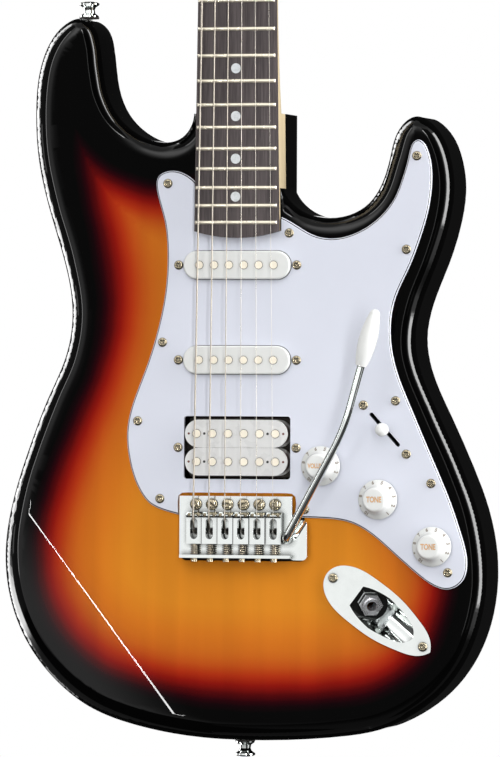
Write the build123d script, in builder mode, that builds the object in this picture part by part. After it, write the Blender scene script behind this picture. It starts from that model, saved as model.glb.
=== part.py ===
"""Electric guitar, millimetres. X across the strings towards the treble side, Z up the neck.

The player's side of the body faces -Y. The origin is the seat of the lower strap button, on the
body's end and in the middle of its thickness. A height is measured out of the body's face, towards
-Y, and a negative height lies inside the wood.
"""

from build123d import *
from math import atan2, cos, degrees, hypot, radians, sin
import os

os.makedirs("parts", exist_ok=True)

# --- driving dimensions ------------------------------------------------------------------------
SCALE = 648.0  # nut to saddles
FRET_COUNT = 22
BODY_THICK = 45.0
BODY_TOP = 402.0  # end of the neck pocket
SADDLE_LINE = 150.0  # Z of the scale length's end
NUT_Z = SADDLE_LINE + SCALE
ROUND_OVER = 5.0

NUT_WIDTH = 42.0
BOARD_END_WIDTH = 55.2
BOARD_END_Z = 322.0
BOARD_END_SAG = 4.3  # the fretboard's end is curved
BOARD_THICK = 6.3
BOARD_HEIGHT = 9.0  # fretboard's surface above the body's face
BOARD_RADIUS = 241.0
FRET_CROWN = 1.1
FRET_WIDTH = 2.4
DOT_RADIUS = 3.2
SIDE_DOT_RADIUS = 1.1
DOT_FRETS = (3, 5, 7, 9, 15, 17, 19, 21)
OCTAVE_FRET = 12

POCKET_DEPTH = 16.0
POCKET_END_Z = 326.5
HEEL_CORNER = 5.0
NECK_THICK_NUT = 21.0
NECK_THICK_HEEL = 23.6
NECK_ROOT_Z = 458.0  # where the neck begins to swell into its heel

HEAD_FACE = -0.5  # height of the headstock's face
HEAD_THICK = 14.5
HEAD_LENGTH = 185.0
NUT_THICK = 5.0
TUNER_FIRST_Z = NUT_Z + 30.0
TUNER_PITCH = 24.5
POST_RADIUS = 3.0
POST_TOP = 10.5
BUSHING_RADIUS = 4.4
RUNNING_GAP = 0.06
WORM_WHEEL_RADIUS = 5.0
WORM_RADIUS = 2.6
KEY_RADIUS = 2.2
GEAR_GAP = 0.25
HOUSING_SIZE = 18.0
HOUSING_DEPTH = 11.0
HOUSING_WALL = 1.2

BRIDGE_SPREAD = 52.5
NUT_SPREAD = 35.5
STRING_RADII = (0.58, 0.46, 0.33, 0.22, 0.17, 0.13)  # low E to high E
STRING_AT_SADDLE = 13.7
STRING_AT_NUT = 10.7
STRING_AT_POST = 5.5

GUARD_THICK = 2.4
GUARD_BEVEL = 1.2
SMALL_SCREW_HEAD = 3.1
SMALL_SCREW_SHANK = 1.4
SMALL_SCREW_LENGTH = 12.0

NECK_PICKUP_Z = 304.7
MIDDLE_PICKUP_Z = 243.8
HUMBUCKER_Z = 187.6
PICKUP_SCREW_X = 39.0
COVER_LENGTH = 70.6
COVER_WIDTH = 18.3
COVER_TOP = 6.0
COVER_WALL = 1.2
SINGLE_POLE_PITCH = 9.8
SINGLE_POLE_RADIUS = 2.4
BOBBIN_LENGTH = 67.5
BOBBIN_WIDTH = 17.8
BOBBIN_ROW = 9.0  # each coil from the middle of the humbucker
BOBBIN_TOP = 5.5
HUMBUCKER_POLE_PITCH = 10.4
HUMBUCKER_POLE_RADIUS = 2.5
HUMBUCKER_WINDOW = (70.3, 40.3)

KNOBS = {
    "volume_knob": (55.5, 176.3),
    "tone_knob_neck": (93.0, 155.1),
    "tone_knob_middle": (128.4, 125.3),
}
KNOB_SKIRT = 12.7
KNOB_CAP = 8.0
KNOB_BOTTOM = 3.4
KNOB_TOP = 15.2
SHAFT_RADIUS = 3.0
POT_BUSHING_RADIUS = 4.7
POT_CASE_RADIUS = 12.0
POT_CASE_TOP = -1.5
POT_CASE_DEPTH = 9.5
PANEL_NUT_FLATS = 12.0
PANEL_NUT_THICK = 2.0

SELECTOR = (97.1, 199.7)
SELECTOR_ANGLE = -47.8  # of the slot, from +X towards +Z
SELECTOR_SLOT = 28.5
SELECTOR_SLOT_WIDTH = 2.6
SELECTOR_SCREW_SPAN = 42.0
SELECTOR_PIVOT = -15.0
TIP_BALL = 4.3  # radius of the selector's tip
TIP_CENTRE = 10.8
TIP_ROUND = 3.7

PIVOT_Z = 151.3
PIVOT_PITCH = 10.45
PLATE_BOTTOM = 3.0
PIVOT_GROOVE = 0.8  # radius of the groove under the plate that rocks on the screws
PLATE_THICK = 2.3
PLATE_TOP_Z = 156.6
PLATE_REAR_Z = 117.0
PLATE_HALF = 37.2
WING_X = 47.0
FLANGE_HEIGHT = 13.0
FLANGE_THICK = 2.0
FLANGE_X = 0.9
FLANGE_LENGTH = 72.6
SADDLE_WIDTH = 10.0
SADDLE_PITCH = BRIDGE_SPREAD / 5
SADDLE_FRONT_Z = 146.3
SADDLE_REAR_Z = 126.0
SADDLE_HEIGHT = 5.8
INTONATION_HEIGHT = 9.4  # of the screws that move the saddles lengthwise
BLOCK_FRONT_Z = 142.0
BLOCK_REAR_Z = 126.0
BLOCK_HALF = 35.0
BLOCK_DEPTH = 38.0
STRING_HOLE_Z = 134.0
ARM_X = 34.8
ARM_Z = 129.1
ARM_RADIUS = 2.6
ARM_SOCKET_DEPTH = 26.0
SPRING_XS = (-18.0, 0.0, 18.0)
SPRING_RADIUS = 4.0
CLAW_Z = 246.0

JACK_CENTRE = (92.8, 83.1)
JACK_ANGLE = -36.3
JACK_TILT = 60.0  # between the jack's axis and the plate
JACK_BORE = 3.2
JACK_SLEEVE = 4.7
JACK_HOLE_ALONG = -8.6
JACK_HOLE_HEIGHT = -7.2
CUP_WALL = 1.3
JACK_PLATE_TOP = 1.6

BUTTON_HEIGHT = 9.5
FELT_THICK = 1.5
FELT_GAP = 0.35  # the body curves away under the felts
UPPER_BUTTON_X = -106.0
UPPER_BUTTON_Z = 464.2
LOWER_BUTTON_Z = 0.0

NECK_SCREWS = [(-19.0, 338.0), (19.0, 338.0), (-19.0, 376.0), (19.0, 376.0)]
COVER_PLATE_THICK = 1.6

# --- outlines, as (X, Z) -----------------------------------------------------------------------
BODY_CURVE = [
    (-31.0, BODY_TOP), (-33.0, 394.0), (-39.0, 386.8), (-49.0, 383.7), (-61.0, 385.7), (-73.0, 392.3),
    (-82.5, 402.0), (-89.0, 415.5), (-92.0, 431.0), (-94.0, 447.0), (-98.0, 458.3), (-106.5, 463.9),
    (-117.0, 460.3), (-127.5, 448.0), (-134.0, 430.0), (-136.4, 404.0), (-134.6, 374.0), (-127.5, 342.0),
    (-117.5, 309.0), (-111.6, 276.0), (-115.5, 247.0), (-127.5, 219.0), (-140.0, 187.0), (-151.0, 153.0),
    (-157.0, 122.0), (-155.6, 91.3), (-145.0, 61.5), (-126.0, 37.0), (-101.0, 19.0), (-70.0, 8.4),
    (-35.0, 2.2), (0.0, 0.0), (40.0, 0.8), (68.0, 3.2), (92.0, 7.6), (113.0, 16.8),
    (134.0, 32.8), (150.3, 55.5), (160.2, 84.5), (162.4, 112.0), (157.3, 145.1), (146.0, 176.0),
    (131.0, 209.0), (118.6, 238.0), (115.4, 258.0), (119.5, 280.5), (130.0, 307.5), (137.5, 332.0),
    (140.4, 355.0), (137.2, 376.0), (129.0, 391.8), (115.0, 399.6), (104.5, 391.8), (98.6, 374.5),
    (92.0, 354.5), (83.5, 343.3), (71.0, 336.6), (58.0, 334.9), (45.0, 337.4), (34.0, 344.6),
    (27.4, 355.0),
]  # fmt: skip
GUARD_LEFT = [
    (-28.7, 358.3), (-36.0, 363.5), (-45.5, 365.2), (-53.0, 361.5), (-53.8, 352.0), (-49.0, 334.0),
    (-46.7, 313.0), (-48.0, 288.0), (-53.3, 262.0), (-61.3, 237.0), (-69.0, 217.0), (-73.0, 200.0),
    (-71.7, 180.0), (-65.0, 160.5), (-57.5, 151.2), (-49.0, 147.2), (-38.9, 144.5),
]  # fmt: skip
GUARD_RIGHT = [
    (38.3, 143.4), (62.9, 142.4), (76.0, 139.8), (88.0, 133.2), (102.0, 121.6), (116.0, 109.6),
    (128.0, 101.0), (138.5, 98.2), (147.5, 103.2), (150.8, 114.5), (147.6, 131.0), (139.5, 154.5),
    (128.3, 180.5), (113.5, 214.5), (104.0, 238.5), (100.3, 260.0), (103.4, 283.6), (112.0, 302.5),
    (119.2, 321.0), (125.0, 341.0), (127.0, 357.0), (126.6, 368.5), (124.0, 378.6), (121.2, 383.1),
    (118.0, 384.6), (115.2, 383.2), (113.0, 379.0), (111.2, 371.5), (108.0, 360.5), (103.0, 348.0), (93.0, 335.2), (79.0, 325.8), (62.0, 321.6), (50.5, 323.5),
    (38.0, 330.3), (28.7, 335.3),
]  # fmt: skip
GUARD_SCREWS = [
    (-46.4, 357.1), (33.9, 325.2), (117.4, 374.3), (110.8, 314.7), (-49.6, 255.1), (-65.9, 204.5),
    (-51.0, 154.6), (104.1, 218.1), (127.4, 165.6), (138.5, 108.9), (44.7, 148.3),
]  # fmt: skip
BACK_SCREWS = [(x, z) for x in (-41.5, 41.5) for z in (116.0, 187.0, 257.0)]
JACK_SCREW_SPAN = 73.0
JACK_PLATE_HALF = [
    (-41.5, 0.0), (-38.6, 7.8), (-31.0, 13.3), (-12.0, 16.4), (8.0, 15.7), (24.0, 12.2), (36.5, 7.2),
    (42.5, 0.0),
]  # fmt: skip
JACK_CUP_HALF = [
    (-17.5, 8.2), (-16.6, 10.6), (-13.5, 11.7), (-6.0, 12.2), (6.0, 11.3), (18.0, 8.6), (25.5, 4.8), (28.0, 0.0),
]  # fmt: skip
CUP_RADIUS = 12.0  # of the cup's round floor
CUP_FLOOR = [(1.5, -13.1), (28.5, -0.4)]  # ends of the floor's middle line, as (along, height)
CONTROL_DEPTH = 34.0
PICKUP_POCKET_DEPTH = 20.0
SPRING_CAVITY_DEPTH = 17.0


def face(height):
    """The plane parallel to the body's face, at a height above it; extruding goes outwards."""
    return Plane.XZ.offset(BODY_THICK / 2 + height)


def turned(x, z):
    """A plane through the axis that stands on the face at x, z: local X outwards, local Y height."""
    return Plane(origin=(x, -BODY_THICK / 2, z), x_dir=(1, 0, 0), z_dir=(0, 0, -1))


def turned_axis(x, z):
    return Axis((x, -BODY_THICK / 2, z), (0, -1, 0))


def turn(points, x, z):
    """A solid of revolution about the axis at x, z, from its half profile of (radius, height)."""
    with BuildPart() as made:
        with BuildSketch(turned(x, z)):
            with BuildLine():
                Polyline(*points, close=True)
            make_face()
        revolve(axis=turned_axis(x, z))
    return made.part


def rod(start, end, radius):
    """A plain cylinder between two points."""
    axis = Vector(*end) - Vector(*start)
    with BuildPart() as made:
        with BuildSketch(Plane(origin=start, z_dir=axis.normalized())):
            Circle(radius)
        extrude(amount=axis.length)
    return made.part


def point(x, z, height):
    return (x, -BODY_THICK / 2 - height, z)


def finish(built, name):
    built.part.label = name
    export_step(built.part, f"parts/{name}.step")


def neck_half_width(z):
    return (NUT_WIDTH + (NUT_Z - z) * (BOARD_END_WIDTH - NUT_WIDTH) / (NUT_Z - BOARD_END_Z)) / 2


def string_x(i, z):
    """X of string i, counted from the low E, between the saddles and the nut."""
    part_way = (z - SADDLE_LINE) / SCALE
    spread = BRIDGE_SPREAD + (NUT_SPREAD - BRIDGE_SPREAD) * part_way
    return spread * (i / 5 - 0.5)


def crown_drop(x):
    """How far the curved playing surface lies under its middle."""
    return x * x / (2 * BOARD_RADIUS)


def string_height(i, z):
    part_way = (z - SADDLE_LINE) / SCALE
    middle = STRING_AT_SADDLE + (STRING_AT_NUT - STRING_AT_SADDLE) * part_way
    return middle - crown_drop(string_x(i, z))


def post_place(i):
    """Centre of tuner post i, beside the straight line of its string."""
    z = TUNER_FIRST_Z + i * TUNER_PITCH
    return string_x(i, NUT_Z) - POST_RADIUS - STRING_RADII[i], z


def fret_z(n):
    return NUT_Z - SCALE * (1 - 2 ** (-n / 12))


def slot_line(angle):
    """Unit vector in the face's plane at an angle from +X towards +Z, as (X, Z)."""
    return cos(radians(angle)), sin(radians(angle))


def along(centre, angle, distance, across=0.0):
    """The place at a distance along a direction, and across it to its left."""
    ux, uz = slot_line(angle)
    return centre[0] + ux * distance - uz * across, centre[1] + uz * distance + ux * across


def jack_place(distance, height):
    """A point in the jack's plane of symmetry."""
    x, z = along(JACK_CENTRE, JACK_ANGLE, distance)
    return point(x, z, height)


STRINGS = range(6)
SINGLES = (NECK_PICKUP_Z, MIDDLE_PICKUP_Z)
BUTTON_PLACES = [((0, 0, LOWER_BUTTON_Z), (0, 0, -1)), ((UPPER_BUTTON_X, 0, UPPER_BUTTON_Z), (0, 0, 1))]
JACK_OUT = Vector(
    cos(radians(JACK_TILT)) * slot_line(JACK_ANGLE)[0],
    -sin(radians(JACK_TILT)),
    cos(radians(JACK_TILT)) * slot_line(JACK_ANGLE)[1],
)
JACK_FACE = Vector(*jack_place(JACK_HOLE_ALONG, JACK_HOLE_HEIGHT))
JACK_SCREWS = [along(JACK_CENTRE, JACK_ANGLE, side * JACK_SCREW_SPAN / 2) for side in (-1, 1)]
SELECTOR_SCREWS = [along(SELECTOR, SELECTOR_ANGLE, side * SELECTOR_SCREW_SPAN / 2) for side in (-1, 1)]
PIVOT_XS = [PIVOT_PITCH * (i - 2.5) for i in STRINGS]
SADDLE_XS = [SADDLE_PITCH * (i - 2.5) for i in STRINGS]
PICKUP_SCREWS = [(x, z) for z in (*SINGLES, HUMBUCKER_Z) for x in (-PICKUP_SCREW_X, PICKUP_SCREW_X)]


def heel_corners():
    """The heel's corners; its sides follow the neck's taper."""
    low, high = neck_half_width(POCKET_END_Z), neck_half_width(BODY_TOP)
    return (low, POCKET_END_Z), (high, BODY_TOP), (-high, BODY_TOP), (-low, POCKET_END_Z)


def jack_plane(height):
    """Parallel to the face over the jack plate, with local X along it."""
    ux, uz = slot_line(JACK_ANGLE)
    return Plane(origin=point(*JACK_CENTRE, height), x_dir=(ux, 0, uz), z_dir=(0, -1, 0))


def mirrored_face(half):
    """A face from the upper half of a symmetrical outline."""
    lower = [(x, -y) for x, y in half]
    with BuildSketch() as made:
        with BuildLine():
            Spline(*half)
            Spline(*lower)
            if half[0][1] > 0:
                Line(half[0], lower[0])
        make_face()
    return made.sketch_local


def cup_solid(grow, deep):
    """The cup: everything under its opening, above the tilted jack face and the rising floor."""
    ux, uz = slot_line(JACK_ANGLE)
    lengthwise = Vector(ux, 0, uz)
    side = Plane(origin=point(*JACK_CENTRE, 0), x_dir=lengthwise, z_dir=lengthwise.cross(Vector(0, -1, 0)))
    with BuildPart() as made:
        with BuildSketch(jack_plane(-25)):
            add(mirrored_face([(x + grow * x / 28, y + grow * (x < 28)) for x, y in JACK_CUP_HALF]))
        extrude(amount=25 + JACK_PLATE_TOP)
        with BuildSketch(side):
            with BuildLine():
                Polyline(
                    (-17.5 - grow, JACK_PLATE_TOP),
                    (-22.0 - grow, 0.5 - deep),
                    (CUP_FLOOR[0][0], CUP_FLOOR[0][1] - deep),
                    (CUP_FLOOR[1][0] + grow, CUP_FLOOR[1][1] - deep),
                    (CUP_FLOOR[1][0] + grow, JACK_PLATE_TOP),
                    close=True,
                )
            make_face()
        extrude(amount=30, both=True, mode=Mode.INTERSECT)
        rise = (CUP_FLOOR[1][1] - CUP_FLOOR[0][1]) / (CUP_FLOOR[1][0] - CUP_FLOOR[0][0])
        axis_height = CUP_FLOOR[0][1] + CUP_RADIUS * (1 + rise**2) ** 0.5
        ends = [jack_place(x, axis_height + rise * (x - CUP_FLOOR[0][0])) for x in (-30.0, 45.0)]
        add(rod(*ends, CUP_RADIUS + deep), mode=Mode.INTERSECT)
    return made.part


# --- cutters shared by the body's contours -----------------------------------------------------
ARM_EDGE = (-124.8, 156.0)  # a point on the line where the forearm contour begins
ARM_ANGLE = -52.8  # of that line, from +X towards +Z
ARM_REACH = 72.0
ARM_DROP = 13.0
ARM_RADIUS_OF_CUT = (ARM_REACH**2 + ARM_DROP**2) / (2 * ARM_DROP)
arm_direction = Vector(slot_line(ARM_ANGLE)[0], 0, slot_line(ARM_ANGLE)[1])
arm_outward = Vector(slot_line(ARM_ANGLE - 90)[0], 0, slot_line(ARM_ANGLE - 90)[1])
arm_plane = Plane(
    origin=point(*ARM_EDGE, 0), x_dir=arm_outward, z_dir=arm_outward.cross(Vector(0, -1, 0))
)
with BuildPart() as arm_cutter:
    with BuildSketch(arm_plane):
        Rectangle(150, ARM_RADIUS_OF_CUT, align=(Align.MIN, Align.MIN))
        with Locations((0, -ARM_RADIUS_OF_CUT / 2)):
            Rectangle(150, ARM_RADIUS_OF_CUT, align=(Align.MIN, Align.CENTER))
        with Locations((0, -ARM_RADIUS_OF_CUT)):
            Circle(ARM_RADIUS_OF_CUT, mode=Mode.SUBTRACT)
    extrude(amount=220, both=True)

BELLY_CENTRE = (-178.0, 285.0)
BELLY_RIM = 118.0  # radius of the contour's rim on the back
BELLY_SPHERE = 270.0
BELLY_OFFSET = (BELLY_SPHERE**2 - BELLY_RIM**2) ** 0.5
with BuildPart() as belly_cutter:
    with BuildSketch(
        Plane(
            origin=(BELLY_CENTRE[0], BODY_THICK / 2 + BELLY_OFFSET, BELLY_CENTRE[1]),
            x_dir=(1, 0, 0),
            z_dir=(0, 0, 1),
        )
    ):
        with BuildLine():
            ThreePointArc((0, BELLY_SPHERE), (BELLY_SPHERE, 0), (0, -BELLY_SPHERE))
            Line((0, -BELLY_SPHERE), (0, BELLY_SPHERE))
        make_face()
    revolve(axis=Axis((BELLY_CENTRE[0], 0, BELLY_CENTRE[1]), (0, 1, 0)))

# --- body --------------------------------------------------------------------------------------
with BuildPart() as body:
    with BuildSketch(face(0)):
        with BuildLine():
            Spline(*BODY_CURVE)
            Polyline(BODY_CURVE[-1], (27.4, BODY_TOP), BODY_CURVE[0])
        make_face()
    extrude(amount=-BODY_THICK)
    add(arm_cutter.part, mode=Mode.SUBTRACT)
    add(belly_cutter.part, mode=Mode.SUBTRACT)
    flats = body.faces().filter_by(Axis.Y)
    rims = flats.sort_by(Axis.Y)[0].edges() + flats.sort_by(Axis.Y)[-1].edges()
    fillet(rims.filter_by(GeomType.BSPLINE), radius=ROUND_OVER)
    # neck pocket, open at the treble side above the cutaway
    with BuildSketch(face(0)):
        Polygon(*heel_corners(), align=None)
        with Locations((neck_half_width(380) - 4, 380)):
            Rectangle(40, 52, align=(Align.MIN, Align.CENTER))
    extrude(amount=-POCKET_DEPTH, mode=Mode.SUBTRACT)
    # pickup pockets and the channel between them
    with BuildSketch(face(0)):
        for z in SINGLES:
            with Locations((0, z)):
                RectangleRounded(88, 27, 8)
        with Locations((0, HUMBUCKER_Z)):
            RectangleRounded(88, 44, 8)
        with Locations((30, (NECK_PICKUP_Z + HUMBUCKER_Z) / 2)):
            Rectangle(16, NECK_PICKUP_Z - HUMBUCKER_Z)
    extrude(amount=-PICKUP_POCKET_DEPTH, mode=Mode.SUBTRACT)
    # control cavity under the knobs and the selector
    with BuildSketch(face(0)):
        places = [KNOBS["volume_knob"], KNOBS["tone_knob_neck"], KNOBS["tone_knob_middle"]]
        for a, b in zip(places, places[1:]):
            middle = ((a[0] + b[0]) / 2, (a[1] + b[1]) / 2)
            with Locations(middle):
                angle = degrees(atan2(b[1] - a[1], b[0] - a[0]))
                SlotCenterToCenter(hypot(b[0] - a[0], b[1] - a[1]), 27, rotation=angle)
        with Locations(SELECTOR):
            SlotOverall(52, 21, rotation=SELECTOR_ANGLE)
        with Locations((70, 186)):
            Rectangle(56, 22, rotation=20)
    extrude(amount=-CONTROL_DEPTH, mode=Mode.SUBTRACT)
    # opening for the inertia block, and the spring cavity behind it
    with BuildSketch(face(0)):
        with Locations((0, 130)):
            RectangleRounded(2 * BLOCK_HALF + 6, 30, 4)
    extrude(amount=-BODY_THICK, mode=Mode.SUBTRACT)
    with BuildSketch(face(0)):
        with Locations((ARM_X, 130)):
            RectangleRounded(19, 30, 3)
    extrude(amount=-(ARM_SOCKET_DEPTH + 4), mode=Mode.SUBTRACT)
    with BuildSketch(face(-BODY_THICK)):
        with Locations((0, 131)):
            RectangleRounded(2 * BLOCK_HALF + 6, 42, 6)
        with Locations((0, 195)):
            RectangleRounded(54, 114, 6)
    extrude(amount=SPRING_CAVITY_DEPTH, mode=Mode.SUBTRACT)
    # jack: the cup's pocket and the bore that the jack points down
    add(cup_solid(CUP_WALL + 0.4, CUP_WALL + 0.4), mode=Mode.SUBTRACT)
    with BuildSketch(Plane(origin=JACK_FACE + JACK_OUT * 8, z_dir=-JACK_OUT)):
        Circle(11.5)
    extrude(amount=41, mode=Mode.SUBTRACT)
    # wire holes from the control cavity to the jack and to the spring cavity
    add(rod(point(104, 125, -28), point(95, 92, -28), 4), mode=Mode.SUBTRACT)
    add(rod(point(60, 172, -30), point(20, 172, -34), 3), mode=Mode.SUBTRACT)
    # screw holes
    with BuildSketch(face(0)):
        with Locations(*GUARD_SCREWS, *JACK_SCREWS):
            Circle(SMALL_SCREW_SHANK)
    extrude(amount=-(SMALL_SCREW_LENGTH - GUARD_THICK), mode=Mode.SUBTRACT)
    with BuildSketch(face(0)):
        with Locations(*[(x, PIVOT_Z) for x in PIVOT_XS]):
            Circle(1.6)
    extrude(amount=-18, mode=Mode.SUBTRACT)
    with BuildSketch(face(-BODY_THICK)):
        with Locations(*BACK_SCREWS):
            Circle(SMALL_SCREW_SHANK)
    extrude(amount=SMALL_SCREW_LENGTH - COVER_PLATE_THICK, mode=Mode.SUBTRACT)
    with BuildSketch(face(-BODY_THICK)):
        with Locations(*NECK_SCREWS):
            Circle(2.2)
    extrude(amount=BODY_THICK, mode=Mode.SUBTRACT)
    for (x, y, z), out in BUTTON_PLACES:
        tip = (x, y, z - 30 * out[2])
        add(rod((x, y, z + 5 * out[2]), tip, 1.9), mode=Mode.SUBTRACT)
    for x in (-12, 12):
        add(rod((x, 12.0, CLAW_Z), (x, 12.0, CLAW_Z + 38), 1.9), mode=Mode.SUBTRACT)
finish(body, "body")

# --- neck --------------------------------------------------------------------------------------
GLUE_PLANE = BOARD_HEIGHT - BOARD_THICK  # height of the flat between neck and fretboard
HEAD_OUTLINE = [
    (-21.0, NUT_Z), (-21.0, NUT_Z + 7), (-33.0, NUT_Z + 22), (3.0, NUT_Z + 160), (9.0, NUT_Z + HEAD_LENGTH),
    (39.0, NUT_Z + HEAD_LENGTH - 10), (35.0, NUT_Z + 150), (24.0, NUT_Z + 20), (21.0, NUT_Z + 7),
    (21.0, NUT_Z),
]  # fmt: skip


def neck_section(z, thick, fullness):
    """A neck's cross-section: flat on top, round behind. Fullness is the shoulders' share of the depth."""
    half = neck_half_width(z)
    back = BOARD_HEIGHT - thick
    depth = GLUE_PLANE - back
    with BuildSketch(Plane(origin=(0, 0, z), x_dir=(1, 0, 0), z_dir=(0, 0, -1))) as section:
        top = BODY_THICK / 2 + GLUE_PLANE
        with BuildLine():
            Line((-half, top), (half, top))
            Spline(
                (half, top),
                (half * fullness, top - depth * 0.72),
                (0, top - depth),
                (-half * fullness, top - depth * 0.72),
                (-half, top),
                tangents=((0, -1), (0, 1)),
            )
        make_face()
    return section.sketch


with BuildPart() as neck:
    add(neck_section(NUT_Z, NECK_THICK_NUT, 0.74))
    add(neck_section(NECK_ROOT_Z, NECK_THICK_HEEL, 0.77))
    loft(ruled=True)
    add(neck_section(NECK_ROOT_Z, NECK_THICK_HEEL, 0.77))
    add(neck_section(BODY_TOP, 24.8, 0.94))
    loft(ruled=True)
    with BuildSketch(face(-POCKET_DEPTH)):
        Polygon(*heel_corners(), align=None)
    extrude(amount=POCKET_DEPTH + GLUE_PLANE)
    with BuildSketch(face(HEAD_FACE)):
        with BuildLine():
            Polyline(*HEAD_OUTLINE, close=True)
        make_face()
        fillet(
            [v for v in vertices() if v.Z > NUT_Z + 100 or (v.Z > NUT_Z + 15 and v.X < 0)], radius=9
        )
    extrude(amount=-HEAD_THICK)
    fillet(neck.edges().filter_by(Plane.XZ).filter_by(lambda e: e.center().Z > NUT_Z + 25), radius=1.5)
    # the nut's seat under the fretboard's end, as high as the glue plane
    with BuildSketch(face(HEAD_FACE)):
        with Locations((0, NUT_Z + NUT_THICK / 2)):
            Rectangle(NUT_WIDTH, NUT_THICK + 4, align=(Align.CENTER, Align.CENTER))
    extrude(amount=GLUE_PLANE - HEAD_FACE)
    # truss-rod channel, tuner holes and screw holes
    with BuildSketch(face(GLUE_PLANE)):
        with Locations((0, 567)):
            Rectangle(6, 440)
    extrude(amount=-9, mode=Mode.SUBTRACT)
    with BuildSketch(face(HEAD_FACE)):
        with Locations(*[post_place(i) for i in STRINGS]):
            Circle(BUSHING_RADIUS)
    extrude(amount=-HEAD_THICK, mode=Mode.SUBTRACT)
    with BuildSketch(face(-POCKET_DEPTH)):
        with Locations(*NECK_SCREWS):
            Circle(2.2)
    extrude(amount=13, mode=Mode.SUBTRACT)
finish(neck, "neck")

with BuildPart() as truss_rod:
    with BuildSketch(face(GLUE_PLANE)):
        with Locations((0, 567)):
            Rectangle(6, 440)
    extrude(amount=-9)
finish(truss_rod, "truss_rod")

# --- fretboard, frets and dots -----------------------------------------------------------------


def playing_cylinder(rise):
    """The cylinder that the playing surface lies on, raised by a small amount."""
    axis_y = -BODY_THICK / 2 - BOARD_HEIGHT + BOARD_RADIUS
    return rod((0, axis_y, BOARD_END_Z - 10), (0, axis_y, NUT_Z + 10), BOARD_RADIUS + rise)


with BuildPart() as board_blank:
    with BuildSketch(face(GLUE_PLANE)):
        with BuildLine():
            corner_z = BOARD_END_Z + BOARD_END_SAG
            Polyline(
                (-BOARD_END_WIDTH / 2, corner_z),
                (-NUT_WIDTH / 2, NUT_Z),
                (NUT_WIDTH / 2, NUT_Z),
                (BOARD_END_WIDTH / 2, corner_z),
            )
            ThreePointArc((BOARD_END_WIDTH / 2, corner_z), (0, BOARD_END_Z), (-BOARD_END_WIDTH / 2, corner_z))
        make_face()
    extrude(amount=BOARD_THICK)
    add(playing_cylinder(0), mode=Mode.INTERSECT)

with BuildPart() as pegs:
    dot_places = [(0, (fret_z(n) + fret_z(n - 1)) / 2) for n in DOT_FRETS]
    octave_z = (fret_z(OCTAVE_FRET) + fret_z(OCTAVE_FRET - 1)) / 2
    with BuildSketch(face(BOARD_HEIGHT - 2)):
        with Locations(*dot_places, (-13, octave_z), (13, octave_z)):
            Circle(DOT_RADIUS)
    extrude(amount=4)
    side_dots = [z for _, z in dot_places] + [octave_z - 4, octave_z + 4]
    for z in side_dots:
        edge = neck_half_width(z)
        add(rod(point(-edge + 1.5, z, 5.2), point(-edge - 2, z, 5.2), SIDE_DOT_RADIUS))

with BuildPart() as fretboard:
    add(board_blank.part)
    add(pegs.part, mode=Mode.SUBTRACT)
finish(fretboard, "fretboard")

with BuildPart() as position_dots:
    add(board_blank.part)
    add(pegs.part, mode=Mode.INTERSECT)
finish(position_dots, "position_dots")

with BuildPart() as frets:
    with BuildSketch(face(BOARD_HEIGHT - 4)):
        for n in range(1, FRET_COUNT + 1):
            with Locations((0, fret_z(n))):
                Rectangle(2 * neck_half_width(fret_z(n)) - 0.6, FRET_WIDTH)
    extrude(amount=8)
    add(playing_cylinder(FRET_CROWN), mode=Mode.INTERSECT)
    add(playing_cylinder(0), mode=Mode.SUBTRACT)
finish(frets, "frets")

with BuildPart() as nut:
    with BuildSketch(face(GLUE_PLANE)):
        with Locations((0, NUT_Z + NUT_THICK / 2)):
            Rectangle(NUT_WIDTH, NUT_THICK)
    extrude(amount=STRING_AT_NUT + 0.6 - GLUE_PLANE)
    for i in STRINGS:
        x = string_x(i, NUT_Z + NUT_THICK / 2)
        radius = STRING_RADII[i]
        floor = string_height(i, NUT_Z) - radius - 0.02
        with BuildSketch(face(floor)):
            with Locations((x, NUT_Z + NUT_THICK / 2)):
                Rectangle(2 * radius + 0.3, NUT_THICK)
        extrude(amount=5, mode=Mode.SUBTRACT)
finish(nut, "nut")

# --- tuners ------------------------------------------------------------------------------------
HEAD_BACK = HEAD_FACE - HEAD_THICK
WHEEL_HEIGHT = HEAD_BACK - HOUSING_DEPTH / 2 - 0.3
WORM_OFFSET = WORM_WHEEL_RADIUS + WORM_RADIUS + GEAR_GAP
KEY_END_X = -21.0  # from the post's centre to the button's inner face

with BuildPart() as tuner_housings:
    for i in STRINGS:
        x, z = post_place(i)
        with BuildSketch(face(HEAD_BACK)):
            with Locations((x, z + 2)):
                RectangleRounded(HOUSING_SIZE, HOUSING_SIZE + 4, 2)
        extrude(amount=-HOUSING_DEPTH)
        room = HOUSING_SIZE - 2 * HOUSING_WALL
        with BuildSketch(face(HEAD_BACK - HOUSING_WALL)):
            with Locations((x, z + 2)):
                RectangleRounded(room, room + 4, 1)
        extrude(amount=-(HOUSING_DEPTH - 2 * HOUSING_WALL), mode=Mode.SUBTRACT)
        with BuildSketch(face(HEAD_BACK)):
            with Locations((x, z)):
                Circle(POST_RADIUS + RUNNING_GAP)
        extrude(amount=-4, mode=Mode.SUBTRACT)
        shaft_start = point(x + 5, z + WORM_OFFSET, WHEEL_HEIGHT)
        shaft_end = point(x - 12, z + WORM_OFFSET, WHEEL_HEIGHT)
        add(rod(shaft_start, shaft_end, KEY_RADIUS + RUNNING_GAP), mode=Mode.SUBTRACT)
finish(tuner_housings, "tuner_housings")

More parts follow.
